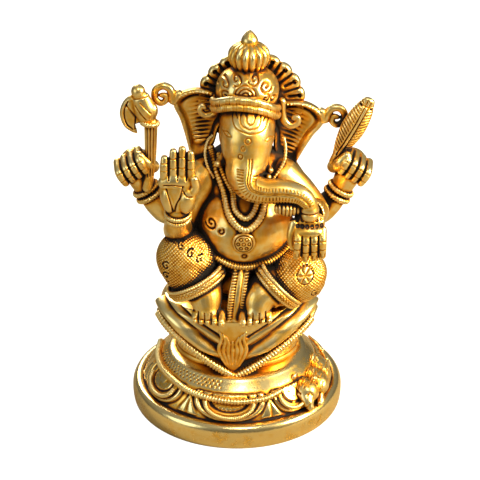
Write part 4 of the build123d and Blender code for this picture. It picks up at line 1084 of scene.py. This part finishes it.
pour("resting_hand_casting", rest, "resting_hand")
sweet_core = tube([(13.4, -20.2, 80.6), (18.2, -20.2, 80.6)], [2.2, 2.3])
sweet = cast([ball((15.9, -20.2, 80.6), (7.4, 6.0, 5.2)), sweet_core], 0.24, 2)
draw(sweet, [[(x, 84.0), (x, 77.0)] for x in np.arange(12.4, 19.5, 1.15)], 0.2, 0.4)
pour("sweet", sweet, "modak")

# ------------------------------------------------------------------ rear arms with fists and bangles
# The rear arms swing out and up. Each ends in a closed fist, four curled fingers and a thumb
# stacked round a handle, over two ribbed bangles.

centre, finger_pitch, first_finger, first_cleft = 2.0, 2.55, -2.7, -1.43
arm_course = [(11.5, 3.4, 84.0), (17.6, 2.6, 76.0), (23.4, 1.4, 69.6), (27.6, 0.6, 72.4), (31.0, 0.0, 77.6)]
for side, name in ((-1, "right"), (1, "left")):
    course = [(centre + side * out, y, z) for out, y, z in arm_course]
    arm = cast([tube(course, [5.8, 5.2, 4.6, 4.1, 3.3], sides=36)], 0.28, 2)
    pour(name + "_rear_arm_casting", arm, name + "_rear_arm")
    way = unit(np.array([side * 0.55, 0.0, 1.0]))
    spot = np.array([centre + side * 31.2, -0.2, 78.0])
    rings = [hoop(spot + way * reach, way, 3.75 + 0.1 * k) for k, reach in enumerate((0.2, -2.2))]
    ribbed(name + "_rear_bangle_pair", rings, 1.0, 0.8, name + "_rear_bangles", closed=True)
    hand = np.array([centre + side * 34.0, -1.6, 87.2])
    row, reach = np.array([side * 0.84, 0.0, -0.54]), np.array([side * 0.42, 0.0, 0.9])
    parts = [ball(hand + [0, 1.4, -0.4], (10.4, 8.0, 11.0), lean=side * 24)]
    parts.append(tube([spot, hand - [0, 0, 2.0]], [3.4, 4.4]))
    for k in range(4):
        middle = hand + row * (finger_pitch * k + first_finger) + [0, 0, 0.4]
        bends = ((3.6, -0.6), (2.0, -4.6), (0.0, -5.0), (-2.6, -4.2))
        parts.append(tube([middle + reach * u + [0, y, 0] for u, y in bends], [1.4, 1.42, 1.42, 1.2]))
    bends = ((-4.6, -3.6, 0.0), (-4.4, -0.6, -3.6), (-3.6, 3.0, -4.0))
    parts.append(tube([hand + row * w + reach * u + [0, y, 0] for w, u, y in bends], [2.1, 1.9, 1.5]))
    fist = cast(parts, 0.22, 1)

    def on_fist(w, u):
        """A place on the fist's front view, along its row of fingers and up one finger."""
        return (hand + row * w + reach * u)[[0, 2]] + [0, 0.4]

    clefts, joints = [], []
    for k in range(3):
        clefts.append(np.array([on_fist(finger_pitch * k + first_cleft, u) for u in (3.8, -3.4)]))
    for k in range(4):
        for u in (1.6, -1.2):
            joints.append(np.array([on_fist(finger_pitch * k + first_finger + w, u) for w in (-0.9, 0.9)]))
    draw(fist, clefts, 0.22, 0.55)
    draw(fist, joints, 0.16, 0.22)
    pour(name + "_fist", fist, name + "_rear_hand")

# ------------------------------------------------------------------ axe
# A small battle axe in the right rear fist: a chased haft with a nicked collar, a socket with a
# round knob, and one broad crescent blade that faces outwards.

haft_course = [(-28.4, -4.8, 80.6), (-27.2, -4.8, 90.0), (-26.6, -4.4, 102.4)]
haft = cast([tube(haft_course, [1.6, 1.8, 2.1])], 0.22, 1)
draw(haft, [[(-27.2 + x, 85.0), (-26.6 + x * 1.2, 101.6)] for x in (-1.0, -0.1, 0.8)], 0.2, 0.35)
pour("axe_haft", haft, "axe_shaft")
collar = hoop((-27.0, -4.4, 102.4), (0.12, 0, 1), 2.4)
ribbed("axe_collar_cord", [collar], 0.85, 0.7, "axe_collar", closed=True)
blade_rim = [(-29.4, 110.0), (-32.2, 111.4), (-34.6, 109.8), (-36.0, 106.7), (-35.9, 103.6)]
blade_rim += [(-34.4, 100.6), (-31.0, 98.9), (-31.6, 101.6), (-29.6, 103.4)]
rim = smooth_line(blade_rim + blade_rim[:1], 8)[:-1]
hub, shares = np.array([-32.6, 106.0]), np.linspace(0.06, 1, 26)
flat = hub + (rim - hub)[None] * shares[:, None, None]
reach = shares[:, None] + 0 * rim[None, :, 0]
thick = 0.95 * (1 - reach**6 * 0.7) + 0.35 * ridge(reach, 0.84, 0.05)
front = np.stack([flat[..., 0], -4.4 - thick, flat[..., 1]], -1)
back = np.stack([flat[..., 0], -4.4 + thick, flat[..., 1]], -1)[::-1]
sheet = skin(np.concatenate([front, back]), (hub[0], -5.35, hub[1]), (hub[0], -3.45, hub[1]))
axe = cast(
    [
        sheet,
        tube([(-27.6, -4.4, 103.0), (-28.2, -4.4, 106.4), (-29.4, -4.4, 110.2)], [2.6, 3.5, 2.9], flat=0.8),
        ball((-30.2, -4.4, 112.6), (4.4, 4.2, 4.6)),
        ball((-25.6, -4.4, 106.4), (2.6, 3.4, 4.6)),
    ],
    0.22, 1,
)
draw(axe, [smooth_line([(-33.4, 109.6), (-34.7, 106.4), (-34.2, 102.6), (-32.2, 100.4)], 8)], 0.22, 0.4)
strokes = [
    [(-31.6, 110.6), (-27.4, 111.6)], [(-31.2, 108.4), (-28.0, 104.2)], [(-29.6, 109.6), (-26.4, 106.2)],
    [(-34.0, 108.4), (-31.2, 104.6), (-31.6, 100.6)],
]
draw(axe, strokes, 0.2, 0.35)
pour("axe_blade", axe, "axe_head")

# ------------------------------------------------------------------ long leaf
# The left rear fist holds a long leaf that leans out: a raised midrib with fine veins slanting
# to its rim.

leaf_foot, leaf_tip = np.array([31.6, -3.4, 91.6]), np.array([40.6, -3.2, 109.0])
leaf_way = unit(leaf_tip - leaf_foot)
leaf_out = np.array([leaf_way[2], 0, -leaf_way[0]])
leaf_middle = [leaf_foot + (leaf_tip - leaf_foot) * share for share in (0.0, 0.22, 0.5, 0.8, 1.0)]
leaf_stem = tube([leaf_foot - leaf_way * 3, leaf_foot + leaf_way * 2], [1.3, 1.6])
leaf = cast([tube(leaf_middle, [1.7, 3.0, 3.9, 3.3, 2.0], flat=0.62), leaf_stem], 0.22, 1)
ribs = [np.array([leaf_foot[[0, 2]], leaf_tip[[0, 2]]]) + leaf_out[[0, 2]] * shift for shift in (-0.5, 0.7)]
ribs.append(np.array([(leaf_tip - leaf_way * 1.6 + leaf_out * shift)[[0, 2]] for shift in (-3, 3)]))
veins = []
for share in np.arange(0.06, 0.95, 0.055):
    mid = leaf_foot + (leaf_tip - leaf_foot) * share
    for hand in (-1, 1):
        end = mid + leaf_out * hand * 3.8 + leaf_way * 1.7
        veins.append(np.array([(mid + leaf_out * hand * 1.1)[[0, 2]], end[[0, 2]]]))
draw(leaf, ribs, 0.24, 0.45)
draw(leaf, veins, 0.17, 0.32)
pour("long_leaf", leaf, "leaf_emblem")

# ------------------------------------------------------------------ patina and painted shade
# The wash settles where a point sits below its neighbours. Painted shade is added where much skin
# lies just above a point, measured over the whole idol at once. Handling keeps the crown and foot cleaner.

skins = []
for piece in poured:
    mesh = piece.data
    spots, normals = numbers(mesh.vertices, "co", 3) / MM, numbers(mesh.vertex_normals, "vector", 3)
    skins.append((piece, spots, normals, numbers(mesh.edges, "vertices", 2, int)))
every = np.vstack([spots for _, spots, _, _ in skins])
cell, margin = 0.6, 9.0
low = every.min(0) - margin
shape = np.ceil((every.max(0) + margin - low) / cell).astype(int)


def spread(grid, reach):
    """Blurs a grid by three passes of a running mean."""
    for axis in range(3):
        for _ in range(3):
            total = np.cumsum(grid, axis=axis)
            grid = (np.roll(total, -reach, axis) - np.roll(total, reach + 1, axis)) / (2 * reach + 1)
    return grid


def read(grid, spots):
    """The grid's value at each point, blended between the eight cells round it."""
    where = np.clip((spots - low) / cell - 0.5, 0, shape - 2.001)
    base = where.astype(int)
    part = where - base
    value = 0.0
    for corner in np.ndindex(2, 2, 2):
        weight = np.prod(np.where(corner, part, 1 - part), axis=1)
        at = base + corner
        value = value + weight * grid[at[:, 0], at[:, 1], at[:, 2]]
    return value


occupied = np.zeros(shape)
cells = ((every - low) / cell).astype(int)
occupied[cells[:, 0], cells[:, 1], cells[:, 2]] = 1.0
close_by, wide_by = spread(occupied, 1), spread(occupied, 4)
for piece, spots, normals, edges in skins:
    size = len(spots)
    many = np.maximum(np.bincount(edges.ravel(), minlength=size), 1)

    def neighbours(values):
        one, two = edges.T
        return (np.bincount(one, values[two], size) + np.bincount(two, values[one], size)) / many

    middle = np.stack([neighbours(spots[:, axis]) for axis in range(3)], -1)
    hollow = np.einsum("ij,ij->i", middle - spots, normals)
    for _ in range(2):
        hollow = 0.5 * hollow + 0.5 * neighbours(hollow)
    close, wide = read(close_by, spots + normals * 1.3), read(wide_by, spots + normals * 3.2)
    # Painted shade: darker where much skin of any piece lies just above the point, in the gaps between pieces
    # and under the arms and trunk.
    painted_gap_shade = np.clip((close - 0.17) * 3.2, 0, 0.8) + np.clip((wide - 0.13) * 4.5, 0, 0.8)
    handled = np.maximum(step(spots[:, 2], 102.0, 6.0), 1 - step(spots[:, 2], 42.0, 10.0))
    # The crust is the wash in the hollows plus this painted shade; handling thins both near the crown and
    # foot.
    crust = np.clip(hollow / 0.05, 0, 1.1) * (1 - 0.25 * handled) + painted_gap_shade * (1 - 0.5 * handled)
    crest = np.clip(-hollow / 0.05, 0, 1)
    for name, value in (("crust", crust), ("crest", crest)):
        for _ in range(2):
            value = 0.6 * value + 0.4 * neighbours(value)
        layer = piece.data.attributes.new(name, "FLOAT", "POINT")
        layer.data.foreach_set("value", value.astype(np.float32))

# ------------------------------------------------------------------ fixing
# A steel stud, washer and nut hold the stool to the plinth, and a soldered brass plate closes the
# plinth from below. They keep their CAD shapes and only take a finish.

steel = bpy.data.materials.new("plain steel")
steel.use_nodes = True
steel_tree = steel.node_tree
steel_shader = steel_tree.nodes["Principled BSDF"]
steel_shader.inputs["Base Color"].default_value = (0.5, 0.5, 0.51, 1)
steel_shader.inputs["Metallic"].default_value = 1.0
steel_place = Wire(steel_tree, steel_tree.nodes.new("ShaderNodeTexCoord").outputs["Object"])
steel_grain = steel_place.node("ShaderNodeTexNoise", None, {"Vector": steel_place, "Scale": 900.0})
steel_tree.links.new((steel_grain * 0.2 + 0.25).socket, steel_shader.inputs["Roughness"])
hidden = {"fixing_stud": steel, "fixing_washer": steel, "fixing_nut": steel, "base_plate": buffed_brass}
for name, finish in hidden.items():
    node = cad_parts[name]
    node.data.materials.clear()
    node.data.materials.append(finish)

# ------------------------------------------------------------------ floor, light and camera
# A plain pale floor, a warm soft key from the right, a cool soft fill from the left, and weaker
# lamps high in front and behind, so that the brass has something to mirror.

floor_mesh = bpy.data.meshes.new("floor")
floor_mesh.from_pydata([(-4, -4, 0), (4, -4, 0), (4, 4, 0), (-4, 4, 0)], [], [(0, 1, 2, 3)])
floor = bpy.data.objects.new("floor", floor_mesh)
bpy.context.scene.collection.objects.link(floor)
paper = bpy.data.materials.new("pale floor")
paper.use_nodes = True
paper_shader = paper.node_tree.nodes["Principled BSDF"]
paper_ray = paper.node_tree.nodes.new("ShaderNodeLightPath")
paper_place = Wire(paper.node_tree, paper_ray.outputs["Is Camera Ray"])
paper_shader.inputs["Base Color"].default_value = (0.34, 0.29, 0.20, 1)
paper_shader.inputs["Roughness"].default_value = 0.9
ends = {0: paper_place, 6: (0, 0, 0, 1), 7: (1, 1, 1, 1)}
paper_glow = paper_place.node("ShaderNodeMix", {"data_type": "RGBA"}, ends, output=2)
paper.node_tree.links.new(paper_glow.socket, paper_shader.inputs["Emission Color"])
paper_shader.inputs["Emission Strength"].default_value = 1.0
floor_mesh.materials.append(paper)


def lamp(name, spot, aim, size, power, colour):
    """A round soft lamp that faces a place."""
    light = bpy.data.lights.new(name, "AREA")
    light.shape, light.size, light.energy, light.color = "DISK", size, power, colour
    body = bpy.data.objects.new(name, light)
    body.location = spot
    x, y, z = np.array(aim) - np.array(spot)
    body.rotation_euler = (math.atan2(math.hypot(x, y), -z), 0, math.atan2(-x, y))
    bpy.context.scene.collection.objects.link(body)


heart = (0.0, 0.0, 0.065)
lamp("warm key", (0.50, -0.19, 0.33), heart, 0.24, 7.2, (1.0, 0.89, 0.64))
lamp("cool fill", (-0.52, -0.36, 0.26), heart, 0.42, 0.8, (0.84, 0.95, 1.0))
lamp("high front light", (0.06, -0.42, 0.62), heart, 0.20, 1.2, (1.0, 0.94, 0.82))
lamp("back light", (-0.20, 0.50, 0.40), heart, 0.30, 1.8, (1.0, 0.96, 0.9))
world = bpy.data.worlds.new("studio")
world.use_nodes = True
sky = world.node_tree
bpy.context.scene.world = world
background = sky.nodes["Background"]
ray = sky.nodes.new("ShaderNodeLightPath")
glow = Wire(sky, sky.nodes.new("ShaderNodeTexCoord").outputs["Generated"])
up = glow.node("ShaderNodeSeparateXYZ", None, {0: glow}, output=2)
strength = (up * 0.9 + 0.12).held() * 0.32 + 0.05 + Wire(sky, ray.outputs["Is Camera Ray"]) * 1.0
background.inputs["Color"].default_value = (0.97, 0.98, 1.0, 1)
sky.links.new(strength.socket, background.inputs["Strength"])
bpy.context.scene.view_settings.view_transform = "Standard"

camera = bpy.data.cameras.new("camera")
camera.sensor_width, camera.lens = 36.0, 92.9
camera.shift_x, camera.shift_y = 0.00625, -0.0146
camera.clip_start = 0.01
view = bpy.data.objects.new("camera", camera)
view.location = (0.0, -0.362, 0.244)
view.rotation_euler = (math.atan2(0.362, 0.244 - 0.062), 0, 0)
bpy.context.scene.collection.objects.link(view)
bpy.context.scene.camera = view
